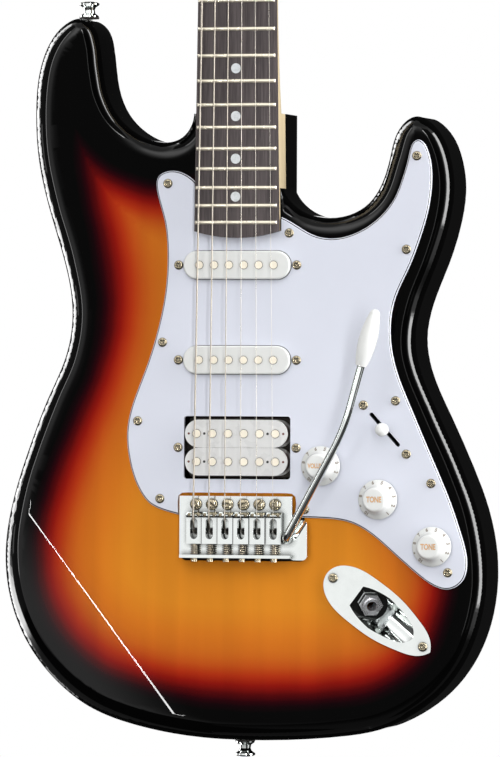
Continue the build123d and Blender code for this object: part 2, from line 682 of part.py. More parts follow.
with BuildPart() as tuner_bushings:
    for i in STRINGS:
        x, z = post_place(i)
        inner = POST_RADIUS + RUNNING_GAP
        top = HEAD_FACE + 1.4
        add(
            turn(
                [
                    (inner, HEAD_FACE - 9),
                    (BUSHING_RADIUS, HEAD_FACE - 9),
                    (BUSHING_RADIUS, HEAD_FACE),
                    (6.4, HEAD_FACE),
                    (6.0, top),
                    (inner, top),
                ],
                x,
                z,
            )
        )
finish(tuner_bushings, "tuner_bushings")

for i in STRINGS:
    x, z = post_place(i)
    with BuildPart() as tuner_post:
        add(
            turn(
                [
                    (0, WHEEL_HEIGHT - 3.5),
                    (2.0, WHEEL_HEIGHT - 3.5),
                    (2.0, WHEEL_HEIGHT - 2),
                    (WORM_WHEEL_RADIUS, WHEEL_HEIGHT - 2),
                    (WORM_WHEEL_RADIUS, WHEEL_HEIGHT + 2),
                    (POST_RADIUS, WHEEL_HEIGHT + 2),
                    (POST_RADIUS, STRING_AT_POST - 2.5),
                    (POST_RADIUS - 0.5, STRING_AT_POST - 1),
                    (POST_RADIUS - 0.5, STRING_AT_POST + 1.5),
                    (POST_RADIUS, STRING_AT_POST + 3),
                    (POST_RADIUS, POST_TOP),
                    (0, POST_TOP),
                ],
                x,
                z,
            )
        )
    finish(tuner_post, f"tuner_post_{i + 1}")
    shaft_z = z + WORM_OFFSET
    key_inner = point(x + KEY_END_X, shaft_z, WHEEL_HEIGHT)
    with BuildPart() as tuner_key:
        add(rod(point(x + 6, shaft_z, WHEEL_HEIGHT), key_inner, KEY_RADIUS))
        worm_start = point(x + 5.5, shaft_z, WHEEL_HEIGHT)
        worm_end = point(x - 5.5, shaft_z, WHEEL_HEIGHT)
        add(rod(worm_start, worm_end, WORM_RADIUS))
        button = Plane(origin=key_inner, x_dir=(0, 1, 0), z_dir=(-1, 0, 0))
        for outward, half_width, half_thick in ((0, 4.0, 3.0), (5, 9.0, 3.6), (11, 8.0, 3.2), (14, 4.5, 1.8)):
            with BuildSketch(button.offset(outward)):
                Ellipse(half_width, half_thick)
        loft()
    finish(tuner_key, f"tuner_key_{i + 1}")

with BuildPart() as string_trees:
    for pair, z in (((2, 3), NUT_Z + 62), ((4, 5), NUT_Z + 82)):
        x = (string_x(pair[0], NUT_Z) + string_x(pair[1], NUT_Z)) / 2
        roof = STRING_AT_NUT - 0.9
        add(rod(point(x, z, HEAD_FACE), point(x, z, roof), 1.9))
        with BuildSketch(face(roof)):
            with Locations((x, z)):
                RectangleRounded(11, 4.6, 1.5)
        extrude(amount=1.2)
finish(string_trees, "string_trees")

# --- bolts of the neck joint, strap buttons ----------------------------------------------------
with BuildPart() as neck_plate:
    with BuildSketch(face(-BODY_THICK)):
        with Locations((0, 357)):
            RectangleRounded(51, 64, 6)
        with Locations(*NECK_SCREWS):
            Circle(2.2, mode=Mode.SUBTRACT)
    extrude(amount=-1.8)
finish(neck_plate, "neck_plate")

PLATE_BACK = -BODY_THICK - 1.8
with BuildPart() as neck_screws:
    for x, z in NECK_SCREWS:
        add(
            turn(
                [
                    (0, -3.5),
                    (2.2, -3.5),
                    (2.2, PLATE_BACK),
                    (4.6, PLATE_BACK),
                    (3.8, PLATE_BACK - 1.6),
                    (0, PLATE_BACK - 2.2),
                ],
                x,
                z,
            )
        )
finish(neck_screws, "neck_screws")


def turn_button(points, place, out):
    """A solid of revolution on a strap button's axis, from its half profile of (radius, height)."""
    plane = Plane(origin=place, x_dir=(0, 1, 0), z_dir=(1, 0, 0) if out[2] > 0 else (-1, 0, 0))
    with BuildPart() as made:
        with BuildSketch(plane):
            with BuildLine():
                Polyline(*points, close=True)
            make_face()
        revolve(axis=Axis(place, out))
    return made.part


with BuildPart() as strap_felts:
    for place, out in BUTTON_PLACES:
        add(turn_button([(1.9, FELT_GAP), (6.4, FELT_GAP), (6.4, FELT_THICK), (1.9, FELT_THICK)], place, out))
finish(strap_felts, "strap_felts")

with BuildPart() as strap_buttons:
    top = FELT_THICK + BUTTON_HEIGHT
    for place, out in BUTTON_PLACES:
        profile = [
            (1.9, FELT_THICK),
            (6.2, FELT_THICK),
            (6.0, FELT_THICK + 0.9),
            (3.9, FELT_THICK + 2.4),
            (3.5, FELT_THICK + 4.6),
            (4.2, top - 3.2),
            (6.5, top - 1.6),
            (6.5, top - 0.6),
            (5.6, top),
            (3.6, top),
            (1.9, top - 1.7),
        ]
        add(turn_button(profile, place, out))
finish(strap_buttons, "strap_buttons")

with BuildPart() as body_screws:
    profile = [(0, -30), (1.9, -30), (1.9, top - 1.7), (3.6, top), (3.0, top + 0.5), (0, top + 0.7)]
    for place, out in BUTTON_PLACES:
        add(turn_button(profile, place, out))
    for x in (-12, 12):
        add(rod((x, 12.0, CLAW_Z - 2), (x, 12.0, CLAW_Z + 38), 1.9))
        add(rod((x, 12.0, CLAW_Z - 5), (x, 12.0, CLAW_Z - 2), 3.6))
finish(body_screws, "body_screws")

# --- pickguard ---------------------------------------------------------------------------------
with BuildPart() as pickguard:
    with BuildSketch(face(0)):
        with BuildLine():
            Spline(*GUARD_LEFT)
            bridge_side = [(-39.2, 152.5), (-38.8, 156.5), (-36.6, 158.4), (-32.5, 158.7)]
            bridge_side += [(32.5, 158.7), (36.4, 158.4), (38.7, 156.4), (39.2, 152.0)]
            Polyline(GUARD_LEFT[-1], *bridge_side, GUARD_RIGHT[0])
            Spline(*GUARD_RIGHT)
            Polyline(GUARD_RIGHT[-1], (28.7, POCKET_END_Z), (-28.7, POCKET_END_Z), GUARD_LEFT[0])
        make_face()
    extrude(amount=GUARD_THICK)
    rim = pickguard.faces().sort_by(Axis.Y)[0].edges()
    chamfer(rim.filter_by(GeomType.BSPLINE), length=GUARD_BEVEL)
    with BuildSketch(face(0)):
        for z in SINGLES:
            with Locations((0, z)):
                SlotOverall(COVER_LENGTH + 0.7, COVER_WIDTH + 0.7)
        with Locations((0, HUMBUCKER_Z)):
            RectangleRounded(*HUMBUCKER_WINDOW, 2)
        with Locations(SELECTOR):
            SlotOverall(SELECTOR_SLOT, SELECTOR_SLOT_WIDTH, rotation=SELECTOR_ANGLE)
        with Locations(*KNOBS.values()):
            Circle(POT_BUSHING_RADIUS)
        with Locations(*GUARD_SCREWS, *PICKUP_SCREWS, *SELECTOR_SCREWS):
            Circle(SMALL_SCREW_SHANK)
    extrude(amount=GUARD_THICK, mode=Mode.SUBTRACT)
finish(pickguard, "pickguard")


def small_screw(x, z, seat, into, length):
    """A domed cross-head screw on a seat at a height; into is -1 when it is driven into the face."""
    tip = seat + into * length
    return turn(
        [
            (0, tip),
            (SMALL_SCREW_SHANK, tip),
            (SMALL_SCREW_SHANK, seat),
            (SMALL_SCREW_HEAD, seat),
            (SMALL_SCREW_HEAD * 0.85, seat - into * 0.9),
            (SMALL_SCREW_HEAD * 0.45, seat - into * 1.4),
            (0, seat - into * 1.5),
        ],
        x,
        z,
    )


with BuildPart() as cover_screws:
    for x, z in GUARD_SCREWS:
        add(small_screw(x, z, GUARD_THICK, -1, SMALL_SCREW_LENGTH))
    for x, z in JACK_SCREWS:
        add(small_screw(x, z, JACK_PLATE_TOP, -1, SMALL_SCREW_LENGTH - GUARD_THICK))
    for x, z in BACK_SCREWS:
        add(small_screw(x, z, -BODY_THICK - COVER_PLATE_THICK, 1, SMALL_SCREW_LENGTH))
finish(cover_screws, "cover_screws")

# --- pickups -----------------------------------------------------------------------------------
BASE_TOP = -9.0  # height of the single coils' lower plates
HUMBUCKER_BASE_TOP = -9.5
single_poles = [((i - 2.5) * SINGLE_POLE_PITCH, z) for z in SINGLES for i in STRINGS]
humbucker_rows = (HUMBUCKER_Z - BOBBIN_ROW, HUMBUCKER_Z + BOBBIN_ROW)
humbucker_poles = [((i - 2.5) * HUMBUCKER_POLE_PITCH, z) for z in humbucker_rows for i in STRINGS]

with BuildPart() as pickup_covers:
    with BuildSketch(face(-7)):
        with Locations(*[(0, z) for z in SINGLES]):
            SlotOverall(COVER_LENGTH, COVER_WIDTH)
    extrude(amount=COVER_TOP + 7)
    fillet(pickup_covers.faces().filter_by(Axis.Y).group_by(Axis.Y)[0].edges(), radius=1.2)
    with BuildSketch(face(-7)):
        with Locations(*[(0, z) for z in SINGLES]):
            SlotOverall(COVER_LENGTH - 2 * COVER_WALL, COVER_WIDTH - 2 * COVER_WALL)
    extrude(amount=COVER_TOP + 7 - COVER_WALL, mode=Mode.SUBTRACT)
    with BuildSketch(face(0)):
        with Locations(*single_poles):
            Circle(SINGLE_POLE_RADIUS)
    extrude(amount=COVER_TOP, mode=Mode.SUBTRACT)
finish(pickup_covers, "pickup_covers")

with BuildPart() as pickup_flatwork:
    with BuildSketch(face(BASE_TOP)):
        with Locations(*[(0, z) for z in SINGLES]):
            SlotOverall(86, 24)
        with Locations(*single_poles):
            Circle(SINGLE_POLE_RADIUS, mode=Mode.SUBTRACT)
        with Locations(*PICKUP_SCREWS[:4]):
            Circle(SMALL_SCREW_SHANK, mode=Mode.SUBTRACT)
    extrude(amount=-2.4)
    with BuildSketch(face(2.4)):
        with Locations(*[(0, z) for z in SINGLES]):
            SlotOverall(66, 14)
        with Locations(*single_poles):
            Circle(SINGLE_POLE_RADIUS, mode=Mode.SUBTRACT)
    extrude(amount=1.6)
finish(pickup_flatwork, "pickup_flatwork")

with BuildPart() as humbucker_bobbins:
    bobbin_places = [(0, z) for z in humbucker_rows]
    for start, thick, length, width in (
        (HUMBUCKER_BASE_TOP, 1.5, BOBBIN_LENGTH, BOBBIN_WIDTH),
        (HUMBUCKER_BASE_TOP + 1.5, BOBBIN_TOP - HUMBUCKER_BASE_TOP - 3.5, BOBBIN_LENGTH - 9, 8.6),
        (BOBBIN_TOP - 2, 2, BOBBIN_LENGTH, BOBBIN_WIDTH),
    ):
        with BuildSketch(face(start)):
            with Locations(*bobbin_places):
                SlotOverall(length, width)
        extrude(amount=thick)
    with BuildSketch(face(HUMBUCKER_BASE_TOP)):
        with Locations(*humbucker_poles):
            Circle(HUMBUCKER_POLE_RADIUS)
    extrude(amount=BOBBIN_TOP - HUMBUCKER_BASE_TOP, mode=Mode.SUBTRACT)
finish(humbucker_bobbins, "humbucker_bobbins")

with BuildPart() as pole_pieces:
    for x, z in single_poles:
        add(rod(point(x, z, BASE_TOP - 3), point(x, z, COVER_TOP + 0.5), SINGLE_POLE_RADIUS))
    for x, z in humbucker_poles:
        add(rod(point(x, z, HUMBUCKER_BASE_TOP), point(x, z, BOBBIN_TOP + 0.5), HUMBUCKER_POLE_RADIUS))
finish(pole_pieces, "pole_pieces")

with BuildPart() as pickup_windings:
    with BuildSketch(face(BASE_TOP)):
        with Locations(*[(0, z) for z in SINGLES]):
            SlotOverall(64, 13)
        with Locations(*single_poles):
            Circle(SINGLE_POLE_RADIUS, mode=Mode.SUBTRACT)
    extrude(amount=2.4 - BASE_TOP)
    with BuildSketch(face(HUMBUCKER_BASE_TOP + 1.5)):
        with Locations(*bobbin_places):
            SlotOverall(BOBBIN_LENGTH - 3, 14.8)
            SlotOverall(BOBBIN_LENGTH - 9, 8.6, mode=Mode.SUBTRACT)
    extrude(amount=BOBBIN_TOP - HUMBUCKER_BASE_TOP - 3.5)
finish(pickup_windings, "pickup_windings")

with BuildPart() as humbucker_baseplate:
    with BuildSketch(face(HUMBUCKER_BASE_TOP)):
        with Locations((0, HUMBUCKER_Z)):
            RectangleRounded(69, 38, 1.5)
            Rectangle(86, 12)
        with Locations(*PICKUP_SCREWS[4:]):
            Circle(SMALL_SCREW_SHANK, mode=Mode.SUBTRACT)
    extrude(amount=-2.0)
finish(humbucker_baseplate, "humbucker_baseplate")

with BuildPart() as pickup_screws:
    for x, z in PICKUP_SCREWS:
        add(small_screw(x, z, GUARD_THICK, -1, 19))
    for x, z in SELECTOR_SCREWS:
        add(small_screw(x, z, GUARD_THICK, -1, 7))
finish(pickup_screws, "pickup_screws")

with BuildPart() as pickup_springs:
    for x, z in PICKUP_SCREWS:
        add(rod(point(x, z, BASE_TOP), point(x, z, -0.1), 3.0))
        add(rod(point(x, z, BASE_TOP), point(x, z, -0.1), 2.0), mode=Mode.SUBTRACT)
finish(pickup_springs, "pickup_springs")

# --- controls ----------------------------------------------------------------------------------
for name, (x, z) in KNOBS.items():
    with BuildPart() as knob:
        profile = [
            (SHAFT_RADIUS, 6.0),
            (8.3, 6.0),
            (8.3, KNOB_BOTTOM),
            (KNOB_SKIRT, KNOB_BOTTOM),
            (KNOB_SKIRT, KNOB_BOTTOM + 1.2),
            (KNOB_CAP + 1.6, KNOB_BOTTOM + 3.6),
            (KNOB_CAP + 0.2, KNOB_TOP - 0.8),
            (KNOB_CAP - 0.6, KNOB_TOP),
            (0, KNOB_TOP),
            (0, KNOB_TOP - 3),
            (SHAFT_RADIUS, KNOB_TOP - 3),
        ]
        add(turn(profile, x, z))
    with BuildPart() as shaft:
        add(rod(point(x, z, POT_CASE_TOP - 6), point(x, z, KNOB_TOP - 3), SHAFT_RADIUS))
    knob_and_shaft = Compound(label=name, children=[knob.part.solid(), shaft.part.solid()])
    export_step(knob_and_shaft, f"parts/{name}.step")

with BuildPart() as potentiometers:
    bore = SHAFT_RADIUS + RUNNING_GAP
    for x, z in KNOBS.values():
        profile = [
            (bore, GUARD_THICK + 3),
            (POT_BUSHING_RADIUS, GUARD_THICK + 3),
            (POT_BUSHING_RADIUS, POT_CASE_TOP),
            (POT_CASE_RADIUS, POT_CASE_TOP),
            (POT_CASE_RADIUS, POT_CASE_TOP - POT_CASE_DEPTH),
            (0, POT_CASE_TOP - POT_CASE_DEPTH),
            (0, POT_CASE_TOP - 6.5),
            (bore, POT_CASE_TOP - 6.5),
        ]
        add(turn(profile, x, z))
finish(potentiometers, "potentiometers")

JACK_NUT_PLANE = Plane(origin=JACK_FACE + JACK_OUT * 1.5, z_dir=JACK_OUT)
with BuildPart() as panel_nuts:
    with BuildSketch(face(GUARD_THICK)):
        with Locations(*KNOBS.values()):
            RegularPolygon(PANEL_NUT_FLATS / 2, 6, major_radius=False)
            Circle(POT_BUSHING_RADIUS, mode=Mode.SUBTRACT)
    extrude(amount=PANEL_NUT_THICK)
    with BuildSketch(JACK_NUT_PLANE):
        RegularPolygon(6.6, 6, major_radius=False)
        Circle(JACK_SLEEVE, mode=Mode.SUBTRACT)
    extrude(amount=PANEL_NUT_THICK)
finish(panel_nuts, "panel_nuts")

selector_way = Vector(slot_line(SELECTOR_ANGLE)[0], 0, slot_line(SELECTOR_ANGLE)[1])


def selector_plane(height):
    """Parallel to the face over the selector, with local X along its slot."""
    return Plane(origin=point(*SELECTOR, height), x_dir=selector_way, z_dir=(0, -1, 0))


with BuildPart() as selector_switch:
    with BuildSketch(selector_plane(-28)):
        Rectangle(46, 12)
    extrude(amount=28)
    with BuildSketch(selector_plane(-28)):
        Rectangle(46, 5)
    extrude(amount=28, mode=Mode.SUBTRACT)
    with BuildSketch(selector_plane(-28)):
        Rectangle(12, 5)
    extrude(amount=4)
    with BuildSketch(selector_plane(-10)):
        with Locations((-SELECTOR_SCREW_SPAN / 2, 0), (SELECTOR_SCREW_SPAN / 2, 0)):
            Rectangle(4, 5)
    extrude(amount=10)
    with BuildSketch(selector_plane(-10)):
        with Locations((-SELECTOR_SCREW_SPAN / 2, 0), (SELECTOR_SCREW_SPAN / 2, 0)):
            Circle(SMALL_SCREW_SHANK)
    extrude(amount=10, mode=Mode.SUBTRACT)
finish(selector_switch, "selector_switch")

LEVER_PLANE = Plane(
    origin=point(*SELECTOR, SELECTOR_PIVOT),
    x_dir=selector_way,
    z_dir=selector_way.cross(Vector(0, -1, 0)),
)
with BuildPart() as selector_lever:
    with BuildSketch(LEVER_PLANE):
        Circle(6)
        with Locations((0, 13.5)):
            Rectangle(4.2, 27)
    extrude(amount=0.8, both=True)
finish(selector_lever, "selector_lever")

with BuildPart() as selector_tip:
    with BuildSketch(face(TIP_CENTRE - TIP_BALL)):
        with Locations(SELECTOR):
            Circle(TIP_BALL)
    extrude(amount=2 * TIP_BALL)
    fillet(selector_tip.edges().filter_by(GeomType.CIRCLE), radius=TIP_ROUND)
    add(selector_lever.part, mode=Mode.SUBTRACT)
finish(selector_tip, "selector_tip")

with BuildPart() as wiring_harness:
    harness_height = -23.0
    vol, tone_a, tone_b = KNOBS.values()
    route = [
        (point(54, 181, harness_height), point(vol[0], vol[1], harness_height)),
        (point(vol[0], vol[1], harness_height), point(tone_a[0], tone_a[1], harness_height)),
        (point(tone_a[0], tone_a[1], harness_height), point(tone_b[0], tone_b[1], harness_height)),
    ]
    for start, end in route:
        add(rod(start, end, 1.5))
    for x, z in KNOBS.values():
        add(rod(point(x, z, harness_height), point(x, z, POT_CASE_TOP - POT_CASE_DEPTH), 1.5))
    with BuildSketch(face(harness_height - 3)):
        with Locations(((tone_a[0] + tone_b[0]) / 2, (tone_a[1] + tone_b[1]) / 2)):
            Circle(5)
    extrude(amount=6)
finish(wiring_harness, "wiring_harness")

# --- jack --------------------------------------------------------------------------------------

with BuildPart() as jack_plate:
    with BuildSketch(jack_plane(0)):
        add(mirrored_face(JACK_PLATE_HALF))
    extrude(amount=JACK_PLATE_TOP)
    add(cup_solid(CUP_WALL, CUP_WALL))
    add(cup_solid(0, 0), mode=Mode.SUBTRACT)
    with BuildSketch(jack_plane(0)):
        with Locations((-JACK_SCREW_SPAN / 2, 0), (JACK_SCREW_SPAN / 2, 0)):
            Circle(SMALL_SCREW_SHANK)
    extrude(amount=JACK_PLATE_TOP, mode=Mode.SUBTRACT)
    add(rod(JACK_FACE + JACK_OUT * 4, JACK_FACE - JACK_OUT * 6, JACK_SLEEVE), mode=Mode.SUBTRACT)
finish(jack_plate, "jack_plate")

with BuildPart() as output_jack:
    add(rod(JACK_FACE - JACK_OUT * 1.9, JACK_FACE - JACK_OUT * 5, 8.2))
    add(rod(JACK_FACE - JACK_OUT * 1.9, JACK_FACE + JACK_OUT * 5, JACK_SLEEVE))
    add(rod(JACK_FACE - JACK_OUT * 6, JACK_FACE + JACK_OUT * 6, JACK_BORE), mode=Mode.SUBTRACT)
finish(output_jack, "output_jack")

# --- bridge ------------------------------------------------------------------------------------
PLATE_TOP = PLATE_BOTTOM + PLATE_THICK


def intonation_point(x, z):
    """A point on the axis of a saddle's lengthwise screw."""
    return point(x, z, INTONATION_HEIGHT)


with BuildPart() as bridge_plate:
    with BuildSketch(face(PLATE_BOTTOM)):
        with BuildLine():
            Polyline(
                (-PLATE_HALF, PLATE_REAR_Z),
                (-PLATE_HALF, PLATE_TOP_Z),
                (PLATE_HALF, PLATE_TOP_Z),
                (PLATE_HALF, 141.5),
                (WING_X, 141.5),
                (WING_X, 115.8),
                (38.0, 115.8),
                (35.5, PLATE_REAR_Z),
                close=True,
            )
        make_face()
        fillet([v for v in vertices() if v.Z > 150], radius=4)
        fillet([v for v in vertices() if v.X > WING_X - 1], radius=3)
        with Locations(*[(x, PIVOT_Z) for x in PIVOT_XS]):
            Circle(2.1, mode=Mode.SUBTRACT)
        with Locations(*[(x, STRING_HOLE_Z) for x in SADDLE_XS]):
            Circle(2.4, mode=Mode.SUBTRACT)
        with Locations((ARM_X, ARM_Z)):
            Circle(ARM_RADIUS + RUNNING_GAP, mode=Mode.SUBTRACT)
    extrude(amount=PLATE_THICK)
    with BuildSketch(face(PLATE_TOP)):
        with Locations((FLANGE_X, PLATE_REAR_Z + FLANGE_THICK / 2)):
            Rectangle(FLANGE_LENGTH, FLANGE_THICK)
    extrude(amount=FLANGE_HEIGHT - PLATE_TOP)
    groove_ends = [point(side * (PLATE_HALF + 1), PIVOT_Z, PLATE_BOTTOM) for side in (-1, 1)]
    add(rod(*groove_ends, PIVOT_GROOVE), mode=Mode.SUBTRACT)
    for x in SADDLE_XS:
        add(
            rod(intonation_point(x, PLATE_REAR_Z - 1), intonation_point(x, PLATE_REAR_Z + 4), 1.5),
            mode=Mode.SUBTRACT,
        )
finish(bridge_plate, "bridge_plate")

with BuildPart() as pivot_screws:
    head = PLATE_TOP + 0.7
    for x in PIVOT_XS:
        profile = [
            (0, -18),
            (1.6, -18),
            (1.6, head),
            (3.9, head),
            (3.6, head + 1.2),
            (2.2, head + 2.0),
            (0, head + 2.2),
        ]
        add(turn(profile, x, PIVOT_Z))
finish(pivot_screws, "pivot_screws")

with BuildPart() as inertia_block:
    with BuildSketch(face(PLATE_BOTTOM)):
        with Locations((0, (BLOCK_FRONT_Z + BLOCK_REAR_Z) / 2)):
            RectangleRounded(2 * BLOCK_HALF, BLOCK_FRONT_Z - BLOCK_REAR_Z, 1)
    extrude(amount=-BLOCK_DEPTH)
    with BuildSketch(face(PLATE_BOTTOM)):
        with Locations((ARM_X, ARM_Z)):
            RectangleRounded(11, 12, 3)
    extrude(amount=-(ARM_SOCKET_DEPTH + PLATE_BOTTOM))
    with BuildSketch(face(PLATE_BOTTOM)):
        with Locations(*[(x, STRING_HOLE_Z) for x in SADDLE_XS]):
            Circle(2.0)
    extrude(amount=-BLOCK_DEPTH, mode=Mode.SUBTRACT)
    with BuildSketch(face(PLATE_BOTTOM)):
        with Locations((ARM_X, ARM_Z)):
            Circle(ARM_RADIUS + RUNNING_GAP)
    extrude(amount=-(ARM_SOCKET_DEPTH + PLATE_BOTTOM), mode=Mode.SUBTRACT)
    for x in SPRING_XS:
        add(
            rod(point(x, BLOCK_FRONT_Z + 1, -31), point(x, BLOCK_FRONT_Z - 6, -31), 1.4),
            mode=Mode.SUBTRACT,
        )
finish(inertia_block, "inertia_block")

saddle_tops = [string_height(i, 145.0) - STRING_RADII[i] - 0.02 for i in STRINGS]
with BuildPart() as saddles:
    for x, top in zip(SADDLE_XS, saddle_tops):
        low = top - SADDLE_HEIGHT
        with BuildSketch(Plane(origin=point(x, 0, 0), x_dir=(0, 0, 1), z_dir=(1, 0, 0))):
            with BuildLine():
                Polyline(
                    (SADDLE_REAR_Z, low),
                    (SADDLE_REAR_Z, top - 0.8),
                    (142.6, top - 0.8),
                    (143.9, top),
                    (144.6, top),
                    (145.4, top - 1.6),
                    (SADDLE_FRONT_Z, top - 4.0),
                    (SADDLE_FRONT_Z, low),
                    close=True,
                )
            make_face()
        extrude(amount=SADDLE_WIDTH / 2, both=True)
        with BuildSketch(face(low)):
            with Locations((x, 135.7)):
                SlotOverall(13.4, 4.8, rotation=90)
        extrude(amount=12, mode=Mode.SUBTRACT)
        with BuildSketch(face(low)):
            with Locations((x - 3.1, 144.6), (x + 3.1, 144.6)):
                Circle(1.2)
        extrude(amount=12, mode=Mode.SUBTRACT)
        add(
            rod(intonation_point(x, SADDLE_REAR_Z - 1), intonation_point(x, SADDLE_REAR_Z + 2.6), 1.25),
            mode=Mode.SUBTRACT,
        )
finish(saddles, "saddles")

with BuildPart() as bridge_screws:
    for x, top in zip(SADDLE_XS, saddle_tops):
        for side in (-3.1, 3.1):
            add(rod(point(x + side, 144.6, PLATE_TOP), point(x + side, 144.6, top - 1.2), 1.2))
        seat = intonation_point(x, PLATE_REAR_Z)
        add(rod(seat, intonation_point(x, SADDLE_REAR_Z + 2.6), 1.25))
        add(rod(seat, intonation_point(x, PLATE_REAR_Z - 2.4), 2.4))
finish(bridge_screws, "bridge_screws")

with BuildPart() as intonation_springs:
    for x in SADDLE_XS:
        start, end = intonation_point(x, PLATE_REAR_Z + FLANGE_THICK), intonation_point(x, SADDLE_REAR_Z)
        add(rod(start, end, 2.3))
        add(rod(start, end, 1.5), mode=Mode.SUBTRACT)
finish(intonation_springs, "intonation_springs")

# the arm: a straight stem in the block, a tight bend, a straight bar and a long gentle bend to its tip
ARM_STEM = point(ARM_X, ARM_Z, -22.0)
ARM_KNEE = point(ARM_X, ARM_Z, 15.0)
ARM_MIDDLE = point(77.0, 199.0, 32.0)
ARM_TIP_END = point(99.3, 275.9, 38.0)
TIP_LENGTH = 37.0
TIP_BORE = 27.0
tip_axis = (Vector(*ARM_TIP_END) - Vector(*ARM_MIDDLE)).normalized()
tip_base = Vector(*ARM_TIP_END) - tip_axis * TIP_LENGTH
with BuildPart() as tremolo_arm:
    with BuildLine():
        arm_end = tip_base + tip_axis * TIP_BORE
        arm_line = FilletPolyline(ARM_STEM, ARM_KNEE, ARM_MIDDLE, arm_end, radius=(7, 110))
    with BuildSketch(Plane(origin=ARM_STEM, z_dir=(0, -1, 0))):
        Circle(ARM_RADIUS)
    sweep(path=arm_line)
finish(tremolo_arm, "tremolo_arm")

with BuildPart() as arm_tip:
    with BuildSketch(Plane(origin=tip_base, x_dir=tip_axis, z_dir=tip_axis.cross(Vector(0, -1, 0)))):
        with BuildLine():
            Line((0, ARM_RADIUS), (0, 3.6))
            ThreePointArc((0, 3.6), (17, 5.9), (34, 3.4))
            ThreePointArc((34, 3.4), (36.2, 2.3), (TIP_LENGTH, 0.8))
            Polyline((TIP_LENGTH, 0.8), (TIP_LENGTH, 0), (TIP_BORE, 0))
            Polyline((TIP_BORE, 0), (TIP_BORE, ARM_RADIUS), (0, ARM_RADIUS))
        make_face()
    revolve(axis=Axis(tip_base, tip_axis))
finish(arm_tip, "arm_tip")

# --- springs, claw and back cover --------------------------------------------------------------
with BuildPart() as tremolo_springs:
    for x in SPRING_XS:
        start, end = point(x, BLOCK_FRONT_Z + 4, -35), point(x, CLAW_Z - 8, -35)
        add(rod(start, end, SPRING_RADIUS))
        add(rod(start, end, SPRING_RADIUS - 1.1), mode=Mode.SUBTRACT)
finish(tremolo_springs, "tremolo_springs")

with BuildPart() as spring_claw:
    with BuildSketch(face(-BODY_THICK + 4)):
        with Locations((0, CLAW_Z - 1)):
            Rectangle(46, 2)
        with Locations(*[(x, CLAW_Z - 4.5) for x in SPRING_XS]):
            Rectangle(4, 7)
    extrude(amount=13)
    for x in (-12, 12):
        add(rod((x, 12.0, CLAW_Z - 4), (x, 12.0, CLAW_Z + 2), 1.9), mode=Mode.SUBTRACT)
finish(spring_claw, "spring_claw")

with BuildPart() as back_cover:
    with BuildSketch(face(-BODY_THICK)):
        with Locations((0, 186.5)):
            RectangleRounded(92, 150, 8)
        with Locations((0, STRING_HOLE_Z)):
            SlotOverall(64, 11, mode=Mode.SUBTRACT)
        with Locations(*BACK_SCREWS):
            Circle(SMALL_SCREW_SHANK, mode=Mode.SUBTRACT)
    extrude(amount=-COVER_PLATE_THICK)
finish(back_cover, "back_cover")

# --- strings -----------------------------------------------------------------------------------
with BuildPart() as strings:
    for i in STRINGS:
        radius = STRING_RADII[i]
        x_bridge = SADDLE_XS[i]
        post_x, post_z = post_place(i)
        nut_rear_z = NUT_Z + NUT_THICK
        route = [
            point(x_bridge, STRING_HOLE_Z, -20),
            point(x_bridge, STRING_HOLE_Z, string_height(i, 144.0) - 1.9),
            point(string_x(i, 144.0), 144.0, string_height(i, 144.0)),
            point(string_x(i, nut_rear_z), nut_rear_z, string_height(i, nut_rear_z)),
            point(string_x(i, NUT_Z), post_z, STRING_AT_POST),
        ]
        for start, end in zip(route, route[1:]):
            add(rod(start, end, radius))
        for corner in route[1:-1]:
            with Locations(corner):
                Sphere(radius)
finish(strings, "strings")
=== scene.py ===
"""Looks for the electric guitar: sunburst lacquer, three-layer guard, chrome hardware and strings."""

import math

import bmesh
import bpy
import numpy as np
from mathutils import Matrix, Vector
from mathutils.bvhtree import BVHTree
from mathutils.kdtree import KDTree


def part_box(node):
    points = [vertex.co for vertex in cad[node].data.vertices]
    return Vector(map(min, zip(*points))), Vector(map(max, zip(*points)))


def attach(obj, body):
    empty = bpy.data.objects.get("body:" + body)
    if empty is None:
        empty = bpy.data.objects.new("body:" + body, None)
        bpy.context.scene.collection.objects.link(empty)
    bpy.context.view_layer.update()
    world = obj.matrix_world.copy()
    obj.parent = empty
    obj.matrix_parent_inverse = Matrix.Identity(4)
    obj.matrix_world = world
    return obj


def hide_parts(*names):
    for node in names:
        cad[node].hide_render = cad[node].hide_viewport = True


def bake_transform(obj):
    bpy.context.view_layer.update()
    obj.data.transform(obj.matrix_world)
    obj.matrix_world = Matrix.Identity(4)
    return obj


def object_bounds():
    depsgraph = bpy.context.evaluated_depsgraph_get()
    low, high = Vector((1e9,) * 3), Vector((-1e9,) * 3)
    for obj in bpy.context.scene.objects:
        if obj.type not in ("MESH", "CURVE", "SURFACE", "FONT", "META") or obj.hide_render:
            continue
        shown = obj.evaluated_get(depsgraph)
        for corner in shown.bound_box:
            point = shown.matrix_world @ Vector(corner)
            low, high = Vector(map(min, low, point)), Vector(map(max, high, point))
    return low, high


MM = 0.001
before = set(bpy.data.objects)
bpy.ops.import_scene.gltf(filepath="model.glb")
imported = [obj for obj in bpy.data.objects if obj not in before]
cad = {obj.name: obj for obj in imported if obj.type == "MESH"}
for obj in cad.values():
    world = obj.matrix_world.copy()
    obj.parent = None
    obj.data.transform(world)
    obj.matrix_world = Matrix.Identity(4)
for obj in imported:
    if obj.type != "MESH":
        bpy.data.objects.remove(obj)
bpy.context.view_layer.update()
FACE_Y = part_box("pickguard")[1].y  # the guard lies on the body's face

